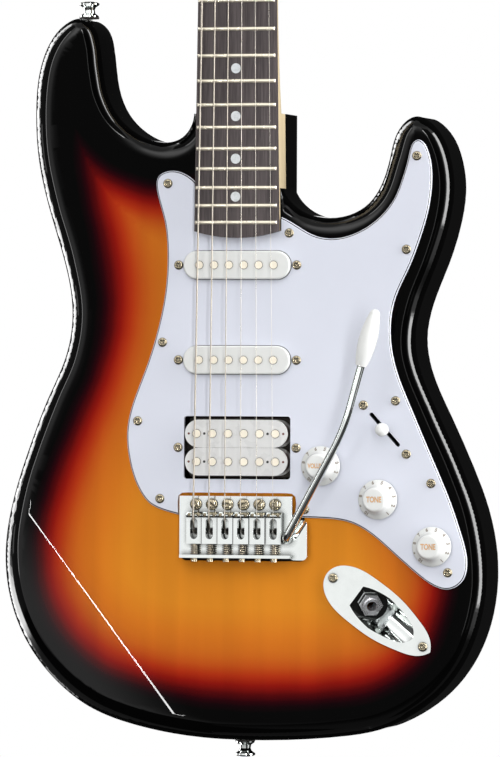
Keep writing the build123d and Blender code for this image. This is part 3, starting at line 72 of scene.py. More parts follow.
# the body's outline as (X, Z) in millimetres, as its CAD source has it
OUTLINE = [
    (-31.0, 402.0), (-33.0, 394.0), (-39.0, 386.8), (-49.0, 383.7), (-61.0, 385.7), (-73.0, 392.3),
    (-82.5, 402.0), (-89.0, 415.5), (-92.0, 431.0), (-94.0, 447.0), (-98.0, 458.3), (-106.5, 463.9),
    (-117.0, 460.3), (-127.5, 448.0), (-134.0, 430.0), (-136.4, 404.0), (-134.6, 374.0), (-127.5, 342.0),
    (-117.5, 309.0), (-111.6, 276.0), (-115.5, 247.0), (-127.5, 219.0), (-140.0, 187.0), (-151.0, 153.0),
    (-157.0, 122.0), (-155.6, 91.3), (-145.0, 61.5), (-126.0, 37.0), (-101.0, 19.0), (-70.0, 8.4),
    (-35.0, 2.2), (0.0, 0.0), (40.0, 0.8), (68.0, 3.2), (92.0, 7.6), (113.0, 16.8),
    (134.0, 32.8), (150.3, 55.5), (160.2, 84.5), (162.4, 112.0), (157.3, 145.1), (146.0, 176.0),
    (131.0, 209.0), (118.6, 238.0), (115.4, 258.0), (119.5, 280.5), (130.0, 307.5), (137.5, 332.0),
    (140.4, 355.0), (137.2, 376.0), (129.0, 391.8), (115.0, 399.6), (104.5, 391.8), (98.6, 374.5),
    (92.0, 354.5), (83.5, 343.3), (71.0, 336.6), (58.0, 334.9), (45.0, 337.4), (34.0, 344.6),
    (27.4, 355.0), (27.4, 402.0),
]  # fmt: skip
STRING_RADII = (0.58, 0.46, 0.33, 0.22, 0.17, 0.13)
NUT_REAR = 0.803
BREAK_Z = 0.144  # where the strings leave the saddles
BOARD_END_Z = 0.322  # the fretboard's end, over the body


def linear(red, green, blue):
    """A colour given as it looks on screen, 0 to 255, as the renderer's values."""
    share = [c / 255 for c in (red, green, blue)]
    return (*[c / 12.92 if c <= 0.04045 else ((c + 0.055) / 1.055) ** 2.4 for c in share], 1.0)


# --- materials ----------------------------------------------------------------------------------
def new_material(name):
    made = bpy.data.materials.new(name)
    made.use_nodes = True
    tree = made.node_tree
    return made, tree, tree.nodes["Principled BSDF"]


def noise(tree, scale, stretch=(1, 1, 1), detail=3.0):
    """Noise in the object's own metres, stretched along the axes."""
    place = tree.nodes.new("ShaderNodeTexCoord")
    mapping = tree.nodes.new("ShaderNodeMapping")
    mapping.inputs["Scale"].default_value = stretch
    texture = tree.nodes.new("ShaderNodeTexNoise")
    texture.inputs["Scale"].default_value = scale
    texture.inputs["Detail"].default_value = detail
    tree.links.new(place.outputs["Object"], mapping.inputs["Vector"])
    tree.links.new(mapping.outputs["Vector"], texture.inputs["Vector"])
    return texture.outputs["Fac"]


def ranged(tree, value, low, high, start=0.3, end=0.7):
    """Value from start to end, remapped smoothly to low to high."""
    remap = tree.nodes.new("ShaderNodeMapRange")
    remap.interpolation_type = "SMOOTHSTEP"
    remap.inputs["From Min"].default_value = start
    remap.inputs["From Max"].default_value = end
    remap.inputs["To Min"].default_value = low
    remap.inputs["To Max"].default_value = high
    tree.links.new(value, remap.inputs["Value"])
    return remap.outputs["Result"]


def maths(tree, operation, a, b):
    made = tree.nodes.new("ShaderNodeMath")
    made.operation = operation
    for slot, given in zip(made.inputs, (a, b)):
        if isinstance(given, (int, float)):
            slot.default_value = given
        else:
            tree.links.new(given, slot)
    return made.outputs["Value"]


def bumped(tree, shader, height, distance):
    bump = tree.nodes.new("ShaderNodeBump")
    bump.inputs["Distance"].default_value = distance
    tree.links.new(height, bump.inputs["Height"])
    tree.links.new(bump.outputs["Normal"], shader.inputs["Normal"])


def crevices(tree, colour, reach):
    """The colour with painted shade: darker where the surface is closed in, by ambient occlusion."""
    shade = tree.nodes.new("ShaderNodeAmbientOcclusion")
    shade.samples = 6
    shade.inputs["Distance"].default_value = reach
    made = tree.nodes.new("ShaderNodeMix")
    made.data_type = "RGBA"
    # the painted shade's near-black colour, mixed in where the ambient occlusion is low
    made.inputs["A"].default_value = (0.008, 0.006, 0.005, 1.0)
    tree.links.new(maths(tree, "POWER", shade.outputs["AO"], 1.6), made.inputs["Factor"])
    tree.links.new(colour, made.inputs["B"])
    return made.outputs["Result"]


def surface(
    name, colour, rough, metallic=0.0, coat=0.0, mottle=0.03,
    stretch=(1, 1, 1), scale=150.0, bump=0.0, shade=0.0,
):  # fmt: skip
    """A material whose colour and roughness wander a little, with painted shade in closed-in places when
    shade is given.
    """
    made, tree, shader = new_material(name)
    wander = noise(tree, scale, stretch)
    tone = tree.nodes.new("ShaderNodeHueSaturation")
    tone.inputs["Color"].default_value = linear(*colour)
    tree.links.new(ranged(tree, wander, 1 - mottle, 1 + mottle), tone.inputs["Value"])
    with_painted_shade = crevices(tree, tone.outputs["Color"], shade) if shade else tone.outputs["Color"]
    tree.links.new(with_painted_shade, shader.inputs["Base Color"])
    tree.links.new(ranged(tree, wander, rough * 0.85, rough * 1.15), shader.inputs["Roughness"])
    shader.inputs["Metallic"].default_value = metallic
    shader.inputs["Coat Weight"].default_value = coat
    shader.inputs["Coat Roughness"].default_value = 0.04
    if bump:
        bumped(tree, shader, wander, bump)
    return made


jack_metal = surface("jack_metal", (235, 235, 238), 0.3, metallic=0.85, mottle=0.04)
# materials given a shade reach are darkened by painted shade where they are closed in
chrome = surface("chrome", (236, 240, 238), 0.05, metallic=1.0, mottle=0.02, shade=0.004)
nickel = surface("nickel", (168, 158, 136), 0.14, metallic=1.0, mottle=0.08, shade=0.0015)
steel = surface("steel", (150, 148, 144), 0.32, metallic=1.0, mottle=0.08)
dark_steel = surface("dark_steel", (62, 58, 54), 0.45, metallic=0.8, mottle=0.1)
spring_metal = surface("spring_metal", (196, 186, 170), 0.16, metallic=1.0, mottle=0.1, shade=0.002)
pole_metal = surface("pole_metal", (236, 228, 210), 0.45, metallic=0.35, mottle=0.04)
fretwire = surface("fretwire", (240, 232, 212), 0.25, metallic=0.6, mottle=0.04)
wound = surface("wound_string", (176, 168, 156), 0.35, metallic=0.9, mottle=0.08, scale=900)
plain = surface("plain_string", (188, 182, 172), 0.3, metallic=0.9, mottle=0.03)
tip_plastic = surface("tip_plastic", (226, 227, 225), 0.2, mottle=0.01)
white_plastic = surface("white_plastic", (214, 215, 213), 0.2, mottle=0.01, bump=0.00001, shade=0.002)
bobbin_plastic = surface("bobbin_plastic", (208, 208, 207), 0.3, mottle=0.01, shade=0.0015)
nut_plastic = surface("nut_plastic", (222, 216, 200), 0.4, mottle=0.03)
black_plastic = surface("black_plastic", (22, 21, 22), 0.4, mottle=0.15)
felt = surface("felt", (40, 36, 34), 0.95, mottle=0.3, scale=900, bump=0.0003)
copper = surface("copper", (92, 32, 18), 0.4, mottle=0.2, scale=600)
dots = surface("dots", (204, 208, 210), 0.3, mottle=0.06, scale=400)
lettering = surface("lettering", (206, 158, 104), 0.6, mottle=0.06)
numerals = surface("numerals", (128, 116, 104), 0.6, mottle=0.06)
maple = surface("maple", (224, 204, 166), 0.35, coat=0.4, mottle=0.05, stretch=(3, 3, 0.15), scale=120)


def rosewood_material():
    made, tree, shader = new_material("rosewood")
    pores = noise(tree, 900.0, (1, 1, 0.05), detail=6.0)
    streaks = noise(tree, 160.0, (1, 1, 0.06))
    ramp = tree.nodes.new("ShaderNodeValToRGB")
    ramp.color_ramp.elements[0].position = 0.3
    ramp.color_ramp.elements[0].color = linear(46, 40, 41)
    ramp.color_ramp.elements[1].position = 0.72
    ramp.color_ramp.elements[1].color = linear(92, 84, 84)
    mixed = maths(tree, "ADD", maths(tree, "MULTIPLY", pores, 0.55), maths(tree, "MULTIPLY", streaks, 0.45))
    tree.links.new(mixed, ramp.inputs["Fac"])
    tree.links.new(ramp.outputs["Color"], shader.inputs["Base Color"])
    shader.inputs["Roughness"].default_value = 0.5
    shader.inputs["Specular IOR Level"].default_value = 0.25
    bumped(tree, shader, pores, 0.0001)
    return made


BURST = [
    (0.0, (3, 3, 3)), (15.5, (3, 3, 3)), (19.5, (17, 2, 5)), (22.5, (37, 1, 6)), (27.0, (75, 5, 7)),
    (33.0, (129, 18, 10)), (39.0, (160, 44, 16)), (45.0, (174, 72, 22)), (51.0, (184, 91, 26)),
    (57.0, (190, 101, 28)), (66.0, (197, 110, 30)), (84.0, (206, 127, 34)),
]  # fmt: skip


def lacquer_material():
    """Sunburst by distance from the outline, over faint upright grain, under clear gloss, with painted shade
    in the cavities.
    """
    made, tree, shader = new_material("sunburst")
    inset = tree.nodes.new("ShaderNodeAttribute")
    inset.attribute_name = "inset"
    cloud = ranged(tree, noise(tree, 9.0), -0.0018, 0.0018)
    share = maths(tree, "DIVIDE", maths(tree, "ADD", inset.outputs["Fac"], cloud), BURST[-1][0] * MM)
    ramp = tree.nodes.new("ShaderNodeValToRGB")
    stops = ramp.color_ramp.elements
    while len(stops) < len(BURST):
        stops.new(0.5)
    for stop, (distance, colour) in zip(stops, BURST):
        stop.position = distance / BURST[-1][0]
        stop.color = linear(*colour)
    tree.links.new(share, ramp.inputs["Fac"])
    grain = noise(tree, 55.0, (1, 1, 0.03), detail=5.0)
    tone = tree.nodes.new("ShaderNodeHueSaturation")
    tree.links.new(ramp.outputs["Color"], tone.inputs["Color"])
    tree.links.new(ranged(tree, grain, 0.94, 1.06), tone.inputs["Value"])
    # painted shade: the colour turns dark brown where the cavity attribute is set
    cavity_shade = tree.nodes.new("ShaderNodeAttribute")
    cavity_shade.attribute_name = "cavity_shade"
    paint = tree.nodes.new("ShaderNodeMix")
    paint.data_type = "RGBA"
    paint.inputs["B"].default_value = linear(24, 10, 8)
    tree.links.new(cavity_shade.outputs["Fac"], paint.inputs["Factor"])
    tree.links.new(tone.outputs["Color"], paint.inputs["A"])
    tree.links.new(paint.outputs["Result"], shader.inputs["Base Color"])
    shader.inputs["Roughness"].default_value = 0.5
    shader.inputs["Specular IOR Level"].default_value = 0.0
    facing = tree.nodes.new("ShaderNodeLayerWeight")
    facing.inputs["Blend"].default_value = 0.5
    # the clear coat is weak face-on, so that the black border stays black
    gloss = ranged(tree, facing.outputs["Facing"], 0.06, 1.0, 0.035, 0.13)
    tree.links.new(gloss, shader.inputs["Coat Weight"])
    shader.inputs["Coat Roughness"].default_value = 0.015
    shader.inputs["Coat IOR"].default_value = 1.45
    return made


def guard_material():
    """White over black over white, read off the height above the face where the rim is bevelled."""
    made, tree, shader = new_material("guard")
    place = tree.nodes.new("ShaderNodeTexCoord")
    split = tree.nodes.new("ShaderNodeSeparateXYZ")
    tree.links.new(place.outputs["Object"], split.inputs["Vector"])
    height = maths(tree, "MULTIPLY_ADD", split.outputs["Y"], -1000.0)
    height.node.inputs[2].default_value = FACE_Y * 1000.0
    above_black = ranged(tree, height, 0, 1, 1.60, 1.68)
    below_black = ranged(tree, height, 1, 0, 2.12, 2.20)
    black = maths(tree, "MULTIPLY", above_black, below_black)
    wander = noise(tree, 14.0)
    tone = tree.nodes.new("ShaderNodeHueSaturation")
    tone.inputs["Color"].default_value = linear(208, 211, 222)
    tree.links.new(ranged(tree, wander, 0.985, 1.015), tone.inputs["Value"])
    paint = tree.nodes.new("ShaderNodeMix")
    paint.data_type = "RGBA"
    paint.inputs["B"].default_value = linear(8, 8, 9)
    tree.links.new(black, paint.inputs["Factor"])
    tree.links.new(tone.outputs["Color"], paint.inputs["A"])
    tree.links.new(paint.outputs["Result"], shader.inputs["Base Color"])
    shader.inputs["Roughness"].default_value = 0.16
    shader.inputs["Specular IOR Level"].default_value = 0.3
    return made


def paint(obj, material, slot):
    obj.data.materials.clear()
    obj.data.materials.append(material)


# --- mesh helpers ---------------------------------------------------------------------------------
def mesh_object(name, points, faces, material, slot, smooth=True):
    mesh = bpy.data.meshes.new(name)
    mesh.from_pydata([tuple(p) for p in points], [], faces)
    mesh.validate()
    obj = bpy.data.objects.new(name, mesh)
    bpy.context.scene.collection.objects.link(obj)
    for polygon in mesh.polygons:
        polygon.use_smooth = smooth
    paint(obj, material, slot)
    return obj


def welded(node):
    """The CAD node's mesh with its corners joined, as a new bmesh."""
    bm = bmesh.new()
    bm.from_mesh(cad[node].data)
    bmesh.ops.remove_doubles(bm, verts=bm.verts, dist=2e-6)
    return bm


def islands(node):
    """The vertices of each separate solid of a CAD node, as arrays, in order of X then Z."""
    bm = welded(node)
    seen, found = set(), []
    for start in bm.verts:
        if start in seen:
            continue
        seen.add(start)
        stack, group = [start], []
        while stack:
            vertex = stack.pop()
            group.append(tuple(vertex.co))
            for edge in vertex.link_edges:
                other = edge.other_vert(vertex)
                if other not in seen:
                    seen.add(other)
                    stack.append(other)
        found.append(np.array(group))
    bm.free()
    return sorted(found, key=lambda g: (round(float(g[:, 0].mean()), 3), float(g[:, 2].mean())))


def middle(group):
    return Vector(((group.min(0) + group.max(0)) / 2).tolist())


def tube(points, radius, sides=8):
    """Vertices and faces of a round tube along points."""
    points = [Vector(p) for p in points]
    verts, faces = [], []
    side = None
    for i, p in enumerate(points):
        ahead = points[min(i + 1, len(points) - 1)] - points[max(i - 1, 0)]
        ahead.normalize()
        if side is None:
            side = ahead.orthogonal().normalized()
        side = (side - ahead * side.dot(ahead)).normalized()
        up = ahead.cross(side)
        for k in range(sides):
            turn = 2 * math.pi * k / sides
            verts.append(p + (side * math.cos(turn) + up * math.sin(turn)) * radius)
    for i in range(len(points) - 1):
        for k in range(sides):
            a, b = i * sides + k, i * sides + (k + 1) % sides
            faces.append((a, b, b + sides, a + sides))
    faces.append(tuple(range(sides))[::-1])
    faces.append(tuple(range(len(verts) - sides, len(verts))))
    return verts, faces


def joined(parts):
    """Several (vertices, faces) as one."""
    verts, faces = [], []
    for some_verts, some_faces in parts:
        offset = len(verts)
        verts.extend(some_verts)
        faces.extend(tuple(i + offset for i in face) for face in some_faces)
    return verts, faces


def lathe(profile, centre, out, turns=64, carve=None):
    """Turns (radius, height) points, in millimetres, about out through centre. carve(u, v) deepens them."""
    out = Vector(out).normalized()
    side = out.orthogonal().normalized()
    up = out.cross(side)
    verts, faces = [], []
    for radius, height in profile:
        for k in range(turns):
            turn = 2 * math.pi * k / turns
            u, v = radius * math.cos(turn), radius * math.sin(turn)
            drop = carve(u, v) if carve else 0.0
            verts.append(centre + (side * u + up * v + out * (height - drop)) * MM)
    for i in range(len(profile) - 1):
        for k in range(turns):
            a, b = i * turns + k, i * turns + (k + 1) % turns
            faces.append((a, b, b + turns, a + turns))
    return verts, faces


def points_of(mesh):
    places = np.empty(len(mesh.vertices) * 3)
    mesh.vertices.foreach_get("co", places)
    return places.reshape(-1, 3)


def corners_of(mesh):
    """The vertex at each face corner."""
    used = np.empty(len(mesh.loops), int)
    mesh.loops.foreach_get("vertex_index", used)
    return used


def refined(node, name, longest, material, slot):
    """A copy of a CAD node in triangles with sides up to about longest, and the CAD's normals."""
    source = cad[node].data
    source.calc_loop_triangles()
    places = np.empty(len(source.vertices) * 3)
    source.vertices.foreach_get("co", places)
    around = np.empty(len(source.corner_normals) * 3)
    source.corner_normals.foreach_get("vector", around)
    count = len(source.loop_triangles)
    used, loops = np.empty(count * 3, int), np.empty(count * 3, int)
    source.loop_triangles.foreach_get("vertices", used)
    source.loop_triangles.foreach_get("loops", loops)
    corners = places.reshape(-1, 3)[used].reshape(-1, 3, 3)
    normals = around.reshape(-1, 3)[loops].reshape(-1, 3, 3)
    tree = BVHTree.FromPolygons(corners.reshape(-1, 3).tolist(), np.arange(count * 3).reshape(-1, 3).tolist())
    bm = welded(node)
    bmesh.ops.triangulate(bm, faces=bm.faces)
    for _ in range(7):
        long_edges = [e for e in bm.edges if e.calc_length() > longest]
        if not long_edges:
            break
        bmesh.ops.subdivide_edges(bm, edges=long_edges, cuts=1)
        bmesh.ops.triangulate(bm, faces=[f for f in bm.faces if len(f.verts) > 3])
    for _ in range(3):
        fine = [e for e in bm.edges if e.calc_length() > longest * 0.4 and close_to_edge(e)]
        bmesh.ops.subdivide_edges(bm, edges=fine, cuts=1)
        bmesh.ops.triangulate(bm, faces=[f for f in bm.faces if len(f.verts) > 3])
    mesh = bpy.data.meshes.new(name)
    bm.to_mesh(mesh)
    bm.free()
    mesh.polygons.foreach_set("use_smooth", [True] * len(mesh.polygons))
    index = np.array([tree.find_nearest(polygon.center)[2] for polygon in mesh.polygons]).repeat(3)
    p = points_of(mesh)[corners_of(mesh)]
    a, b, c = corners[index, 0], corners[index, 1], corners[index, 2]
    flat = np.cross(b - a, c - a)
    area = np.maximum((flat * flat).sum(1), 1e-30)
    share_b = (np.cross(p - a, c - a) * flat).sum(1) / area
    share_c = (np.cross(b - a, p - a) * flat).sum(1) / area
    shares = np.clip(np.column_stack([1 - share_b - share_c, share_b, share_c]), 0, 1)
    shading = (normals[index] * shares[:, :, None]).sum(1)
    shading /= np.linalg.norm(shading, axis=1)[:, None]
    mesh.normals_split_custom_set(shading.tolist())
    obj = bpy.data.objects.new(name, mesh)
    bpy.context.scene.collection.objects.link(obj)
    paint(obj, material, slot)
    return obj, shading


def bevelled(node, name, width, material, slot, body):
    """A copy of a CAD node with its sharp edges rounded a little."""
    bm = welded(node)
    bmesh.ops.dissolve_limit(bm, angle_limit=math.radians(0.8), verts=bm.verts, edges=bm.edges)
    mesh = bpy.data.meshes.new(name)
    bm.to_mesh(mesh)
    bm.free()
    for polygon in mesh.polygons:
        polygon.use_smooth = True
    mesh.set_sharp_from_angle(angle=math.radians(40))
    obj = bpy.data.objects.new(name, mesh)
    bpy.context.scene.collection.objects.link(obj)
    bevel = obj.modifiers.new("edges", "BEVEL")
    bevel.width = width * MM
    bevel.segments = 2
    bevel.limit_method = "ANGLE"
    bevel.angle_limit = math.radians(40)
    bevel.harden_normals = False
    weighted = obj.modifiers.new("normals", "WEIGHTED_NORMAL")
    weighted.keep_sharp = True
    paint(obj, material, slot)
    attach(obj, body)
    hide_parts(node)
    return obj


# --- body ---------------------------------------------------------------------------------------
def smooth_line(points, steps=12):
    """A Catmull-Rom line through points."""
    p = np.array(points)
    made = []
    for i in range(len(p) - 1):
        before, a, b, after = p[max(i - 1, 0)], p[i], p[i + 1], p[min(i + 2, len(p) - 1)]
        for t in np.linspace(0, 1, steps, endpoint=False):
            made.append(
                0.5 * (2 * a + (b - before) * t + (2 * before - 5 * a + 4 * b - after) * t * t
                       + (3 * a - before - 3 * b + after) * t**3)
            )
    return np.array(made) * MM


lacquer = lacquer_material()
edge_line = smooth_line(OUTLINE)
EDGE_SOFTNESS = 0.0127
edge_tree = KDTree(len(edge_line))
for i, (x, z) in enumerate(edge_line):
    edge_tree.insert((x, 0, z), i)
edge_tree.balance()


def close_to_edge(edge):
    """Whether an edge lies on the front face's rounded border."""
    a, b = edge.verts[0].co, edge.verts[1].co
    middle_y = (a.y + b.y) / 2
    if middle_y > FACE_Y + 0.0055:
        return False
    return edge_tree.find(((a.x + b.x) / 2, 0, (a.z + b.z) / 2))[2] < EDGE_SOFTNESS


body, body_normals = refined("body", "body_lacquered", 0.006, lacquer, "lacquered_wood")
body_points = points_of(body.data)
reach = np.full(len(body_points), np.inf)
nearest = np.zeros(len(body_points), int)
for i, (x, z) in enumerate(edge_line):
    distance = np.hypot(body_points[:, 0] - x, body_points[:, 2] - z)
    nearest[distance < reach] = i
    reach = np.minimum(reach, distance)
# the dark border is wider towards the bass horn and along the bottom
HORN_WIDER, HORN_FROM, HORN_OVER, HORN_SIDE = 0.012, 0.270, 0.13, -0.028
BOTTOM_WIDER, BOTTOM_TO = 0.004, 0.075
to_horn = np.clip((body_points[:, 2] - HORN_FROM) / HORN_OVER, 0, 1) * (body_points[:, 0] < HORN_SIDE)
inset = reach - HORN_WIDER * to_horn
inset -= BOTTOM_WIDER * np.clip((BOTTOM_TO - body_points[:, 2]) / BOTTOM_TO, 0, 1)
inset_values = body.data.attributes.new("inset", "FLOAT", "POINT")
inset_values.data.foreach_set("value", inset.astype(np.float32))
# painted shade: the cavities' walls are coloured dark brown, as the shade inside them
CAVITY_HALF, CAVITY_LOW, CAVITY_HIGH, SKIN = 0.046, 0.110, 0.330, 0.001
inside = np.abs(body_points[:, 0]) < CAVITY_HALF
inside &= (body_points[:, 2] > CAVITY_LOW) & (body_points[:, 2] < CAVITY_HIGH)
inside &= (body_points[:, 1] > FACE_Y + SKIN) & (body_points[:, 1] < -FACE_Y - SKIN)
cavity_shade_values = body.data.attributes.new("cavity_shade", "FLOAT", "POINT")
cavity_shade_values.data.foreach_set("value", inside.astype(np.float32))

# the mesh keeps its 5 mm edge: only the shading normals lean outwards, over the last 12.7 mm of both faces
ARM_EDGE, ARM_WAY, ARM_CUT = (-0.1248, 0.156), (-0.797, -0.605), 0.2059  # the forearm contour
NECK_HALF = 0.0285  # the neck's pocket keeps its sharp edges
ahead = np.gradient(edge_line, axis=0)
ahead /= np.linalg.norm(ahead, axis=1)[:, None]
centre_line = edge_line.mean(0)
turning = np.sign(np.cross(ahead, centre_line - edge_line).sum())
outwards = np.column_stack([ahead[:, 1], np.zeros(len(ahead)), -ahead[:, 0]]) * turning
at = corners_of(body.data)
near_edge = (reach[at] < EDGE_SOFTNESS) & (reach[at] > 0.0003) & (np.abs(body_normals[:, 1]) > 0.15)
near_edge &= ~((np.abs(body_points[at, 0]) < NECK_HALF) & (body_points[at, 2] > BOARD_END_Z))
lean = np.where(near_edge, 1 - reach[at] / EDGE_SOFTNESS, 0.0)[:, None]
upright = np.column_stack([np.zeros(len(at)), np.sign(body_normals[:, 1]), np.zeros(len(at))])
flat_part = np.where(np.abs(body_normals[:, 1:2]) > 0.9, body_normals, upright)
past = (body_points[at, 0] - ARM_EDGE[0]) * ARM_WAY[0] + (body_points[at, 2] - ARM_EDGE[1]) * ARM_WAY[1]
slope = np.clip(past / ARM_CUT, 0, 0.9)
contour = np.column_stack([ARM_WAY[0] * slope, -np.sqrt(1 - slope**2), ARM_WAY[1] * slope])
flat_part = np.where(body_normals[:, 1:2] < 0, contour, flat_part)
leaning = flat_part * np.sqrt(1 - lean**2) + outwards[nearest[at]] * lean
leaning /= np.linalg.norm(leaning, axis=1)[:, None]
body.data.normals_split_custom_set(np.where(near_edge[:, None], leaning, body_normals).tolist())
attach(body, "guitar")
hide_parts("body")

# --- CAD pieces that are shown as they are -----------------------------------------------------------
LOOKS = {
    "neck": (maple, "maple"),
    "fretboard": (rosewood_material(), "rosewood"),
    "position_dots": (dots, "dot"),
    "nut": (nut_plastic, "nut"),
    "truss_rod": (steel, "plain_steel"),
    "tuner_housings": (chrome, "chrome"),
    "tuner_bushings": (chrome, "chrome"),
    "string_trees": (chrome, "chrome"),
    "neck_plate": (chrome, "chrome"),
    "neck_screws": (chrome, "chrome"),
    "strap_felts": (felt, "black_plastic"),
    "strap_buttons": (chrome, "chrome"),
    "body_screws": (chrome, "chrome"),
    "pickguard": (guard_material(), "guard"),
    "pickup_covers": (white_plastic, "white_plastic"),
    "pickup_flatwork": (black_plastic, "black_plastic"),
    "humbucker_bobbins": (bobbin_plastic, "white_plastic"),
    "pole_pieces": (pole_metal, "pole_steel"),
    "pickup_windings": (copper, "copper"),
    "humbucker_baseplate": (dark_steel, "plain_steel"),
    "pickup_springs": (steel, "spring_steel"),
    "potentiometers": (steel, "plain_steel"),
    "panel_nuts": (jack_metal, "chrome"),
    "selector_switch": (dark_steel, "plain_steel"),
    "selector_lever": (dark_steel, "plain_steel"),
    "selector_tip": (tip_plastic, "white_plastic"),
    "wiring_harness": (copper, "copper"),
    "jack_plate": (chrome, "chrome"),
    "output_jack": (jack_metal, "saddle_metal"),
    "inertia_block": (steel, "plain_steel"),
    "bridge_screws": (nickel, "chrome"),
    "tremolo_arm": (chrome, "chrome"),
    "arm_tip": (tip_plastic, "white_plastic"),
    "spring_claw": (steel, "plain_steel"),
    "back_cover": (black_plastic, "black_plastic"),
}
for i in range(1, 7):
    LOOKS[f"tuner_post_{i}"] = (chrome, "chrome")
    LOOKS[f"tuner_key_{i}"] = (chrome, "chrome")
for node, (material, slot) in LOOKS.items():
    paint(cad[node], material, slot)
bevelled("bridge_plate", "bridge_plate_edged", 0.35, chrome, "chrome", "tremolo")
bevelled("saddles", "saddles_edged", 0.3, chrome, "saddle_metal", "tremolo")


# the heel swells sideways below the fretboard before it enters the body
HEEL_LOW, HEEL_HIGH, HEEL_LENGTH, HEEL_DEPTH = 0.4015, 0.460, 0.0585, 0.0158
BOARD_UNDERSIDE = 0.0027  # above the face
BOARD_TAPER = 0.01387  # how fast each side of the fretboard narrows
parts = []
for side in (-1, 1):
    verts, faces = [], []
    for z in np.linspace(HEEL_LOW, HEEL_HIGH, 14):
        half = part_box("fretboard")[1].x - (z - BOARD_END_Z) * BOARD_TAPER
        deep = HEEL_DEPTH * (HEEL_HIGH - z) / HEEL_LENGTH
        top = FACE_Y - BOARD_UNDERSIDE
        for x, y in (
            (half - 0.006, top), (half - 0.0001, top), (half - 0.0003, top + deep * 0.55),
            (half - 0.0012, top + deep * 0.85), (half - 0.0035, top + deep + 0.0015),
            (half - 0.008, top + deep),
        ):  # fmt: skip
            verts.append((side * x, y, z))
    for row in range(13):
        for k in range(5):
            i = row * 6 + k
            faces.append((i, i + 1, i + 7, i + 6))
    parts.append((verts, faces))
swell = mesh_object("heel_swell", *joined(parts), maple, "maple")
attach(swell, "guitar")


# --- screws ---------------------------------------------------------------------------------------
def cross_recess(size, depth):
    """How deep a cross-head recess lies under the dome at u, v."""

    def carve(u, v):
        arm = max(0.0, 1 - max(min(abs(u), abs(v)) / (0.22 * size), max(abs(u), abs(v)) / (0.62 * size)) ** 4)
        return depth * min(1.0, arm * 1.6)

    return carve


def slot_recess(size, depth, angle):
    def carve(u, v):
        across = abs(-u * math.sin(angle) + v * math.cos(angle))
        return depth if across < 0.16 * size else 0.0

    return carve


def dome(radius, rise, rim):
    """Half profile of a domed head that rises from a rim."""
    rounds = [(radius, 0.0), (radius, rim)]
    for i in range(1, 13):
        turn = math.pi / 2 * i / 12
        rounds.append((max(radius * math.cos(turn), 0.02), rim + (rise - rim) * math.sin(turn)))
    return rounds


def screw_heads(node, name, head_radius, rise, material, carve_for):
    parts = []
    for number, group in enumerate(islands(node)):
        place = middle(group)
        front = group[:, 1].min() < FACE_Y
        seats = group[np.hypot(group[:, 0] - place.x, group[:, 2] - place.z) > (head_radius - 0.1) * MM, 1]
        seat = seats.max() if front else seats.min()
        out = (0, -1, 0) if front else (0, 1, 0)
        centre = Vector((place.x, seat, place.z))
        parts.append(lathe(dome(head_radius, rise, 0.25), centre, out, 32, carve_for(number)))
    obj = mesh_object(name, *joined(parts), material, "chrome")
    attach(obj, "guitar")
    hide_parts(node)


screw_heads("cover_screws", "cover_screw_heads", 3.05, 1.45, nickel, lambda i: cross_recess(3.0, 0.9))
screw_heads("pickup_screws", "pickup_screw_heads", 3.05, 1.45, nickel, lambda i: cross_recess(3.0, 0.9))
screw_heads(
    "pivot_screws", "pivot_screw_heads", 3.85, 2.15, nickel, lambda i: slot_recess(3.8, 0.8, 1.2 + 0.5 * i)
)

# --- marks on the pickups: painted shade in the pole gaps and bobbin holes, and the pegs ------------
def flat_ring(centre_x, height, centre_z, inner, outer, turns=40):
    """A flat ring parallel to the face, in millimetres above it."""
    verts, faces = [], []
    for radius in (inner, outer):
        for k in range(turns):
            turn = 2 * math.pi * k / turns
            across, along = radius * MM * math.cos(turn), radius * MM * math.sin(turn)
            verts.append((centre_x + across, FACE_Y - height * MM, centre_z + along))
    for k in range(turns):
        j = (k + 1) % turns
        faces.append((k, j, j + turns, k + turns))
    return verts, faces


# heights in millimetres above the face
COVER_TOP, BOBBIN_TOP, MARK_TOP = 6.02, 5.52, 5.53
HUMBUCKER_Z, BOBBIN_ROW, SINGLES_ABOVE_Z = 0.1876, 0.009, 0.22
HOLE_X, PEG_X = 20.9, 31.2
gap_shade_rings, hole_shade_discs, pegs = [], [], []
# painted shade: a thin dark ring on each pole piece stands for the shade in the gap around it
for group in islands("pole_pieces"):
    place = middle(group)
    radius = (float(group[:, 0].max()) - place.x) * 1000
    top = COVER_TOP if place.z > SINGLES_ABOVE_Z else BOBBIN_TOP
    gap_shade_rings.append(flat_ring(place.x, top, place.z, radius, radius + 0.32))
# painted shade: a black disc on each bobbin hole stands for the shade inside it
for row in (-1, 1):
    z = HUMBUCKER_Z + row * BOBBIN_ROW
    for x in (-HOLE_X, HOLE_X):
        hole_shade_discs.append(flat_ring(x * MM, MARK_TOP, z, 0.01, 0.85, 20))
    for x in (-PEG_X, PEG_X):
        pegs.append(flat_ring(x * MM, MARK_TOP, z, 0.01, 0.75, 20))
for name, parts, material in (
    ("pole_gap_shade", gap_shade_rings, dark_steel),
    ("bobbin_hole_shade", hole_shade_discs, black_plastic),
    ("bobbin_pegs", pegs, copper),
):
    obj = mesh_object(name, *joined(parts), material, "black_plastic", smooth=False)
    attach(obj, "guitar")

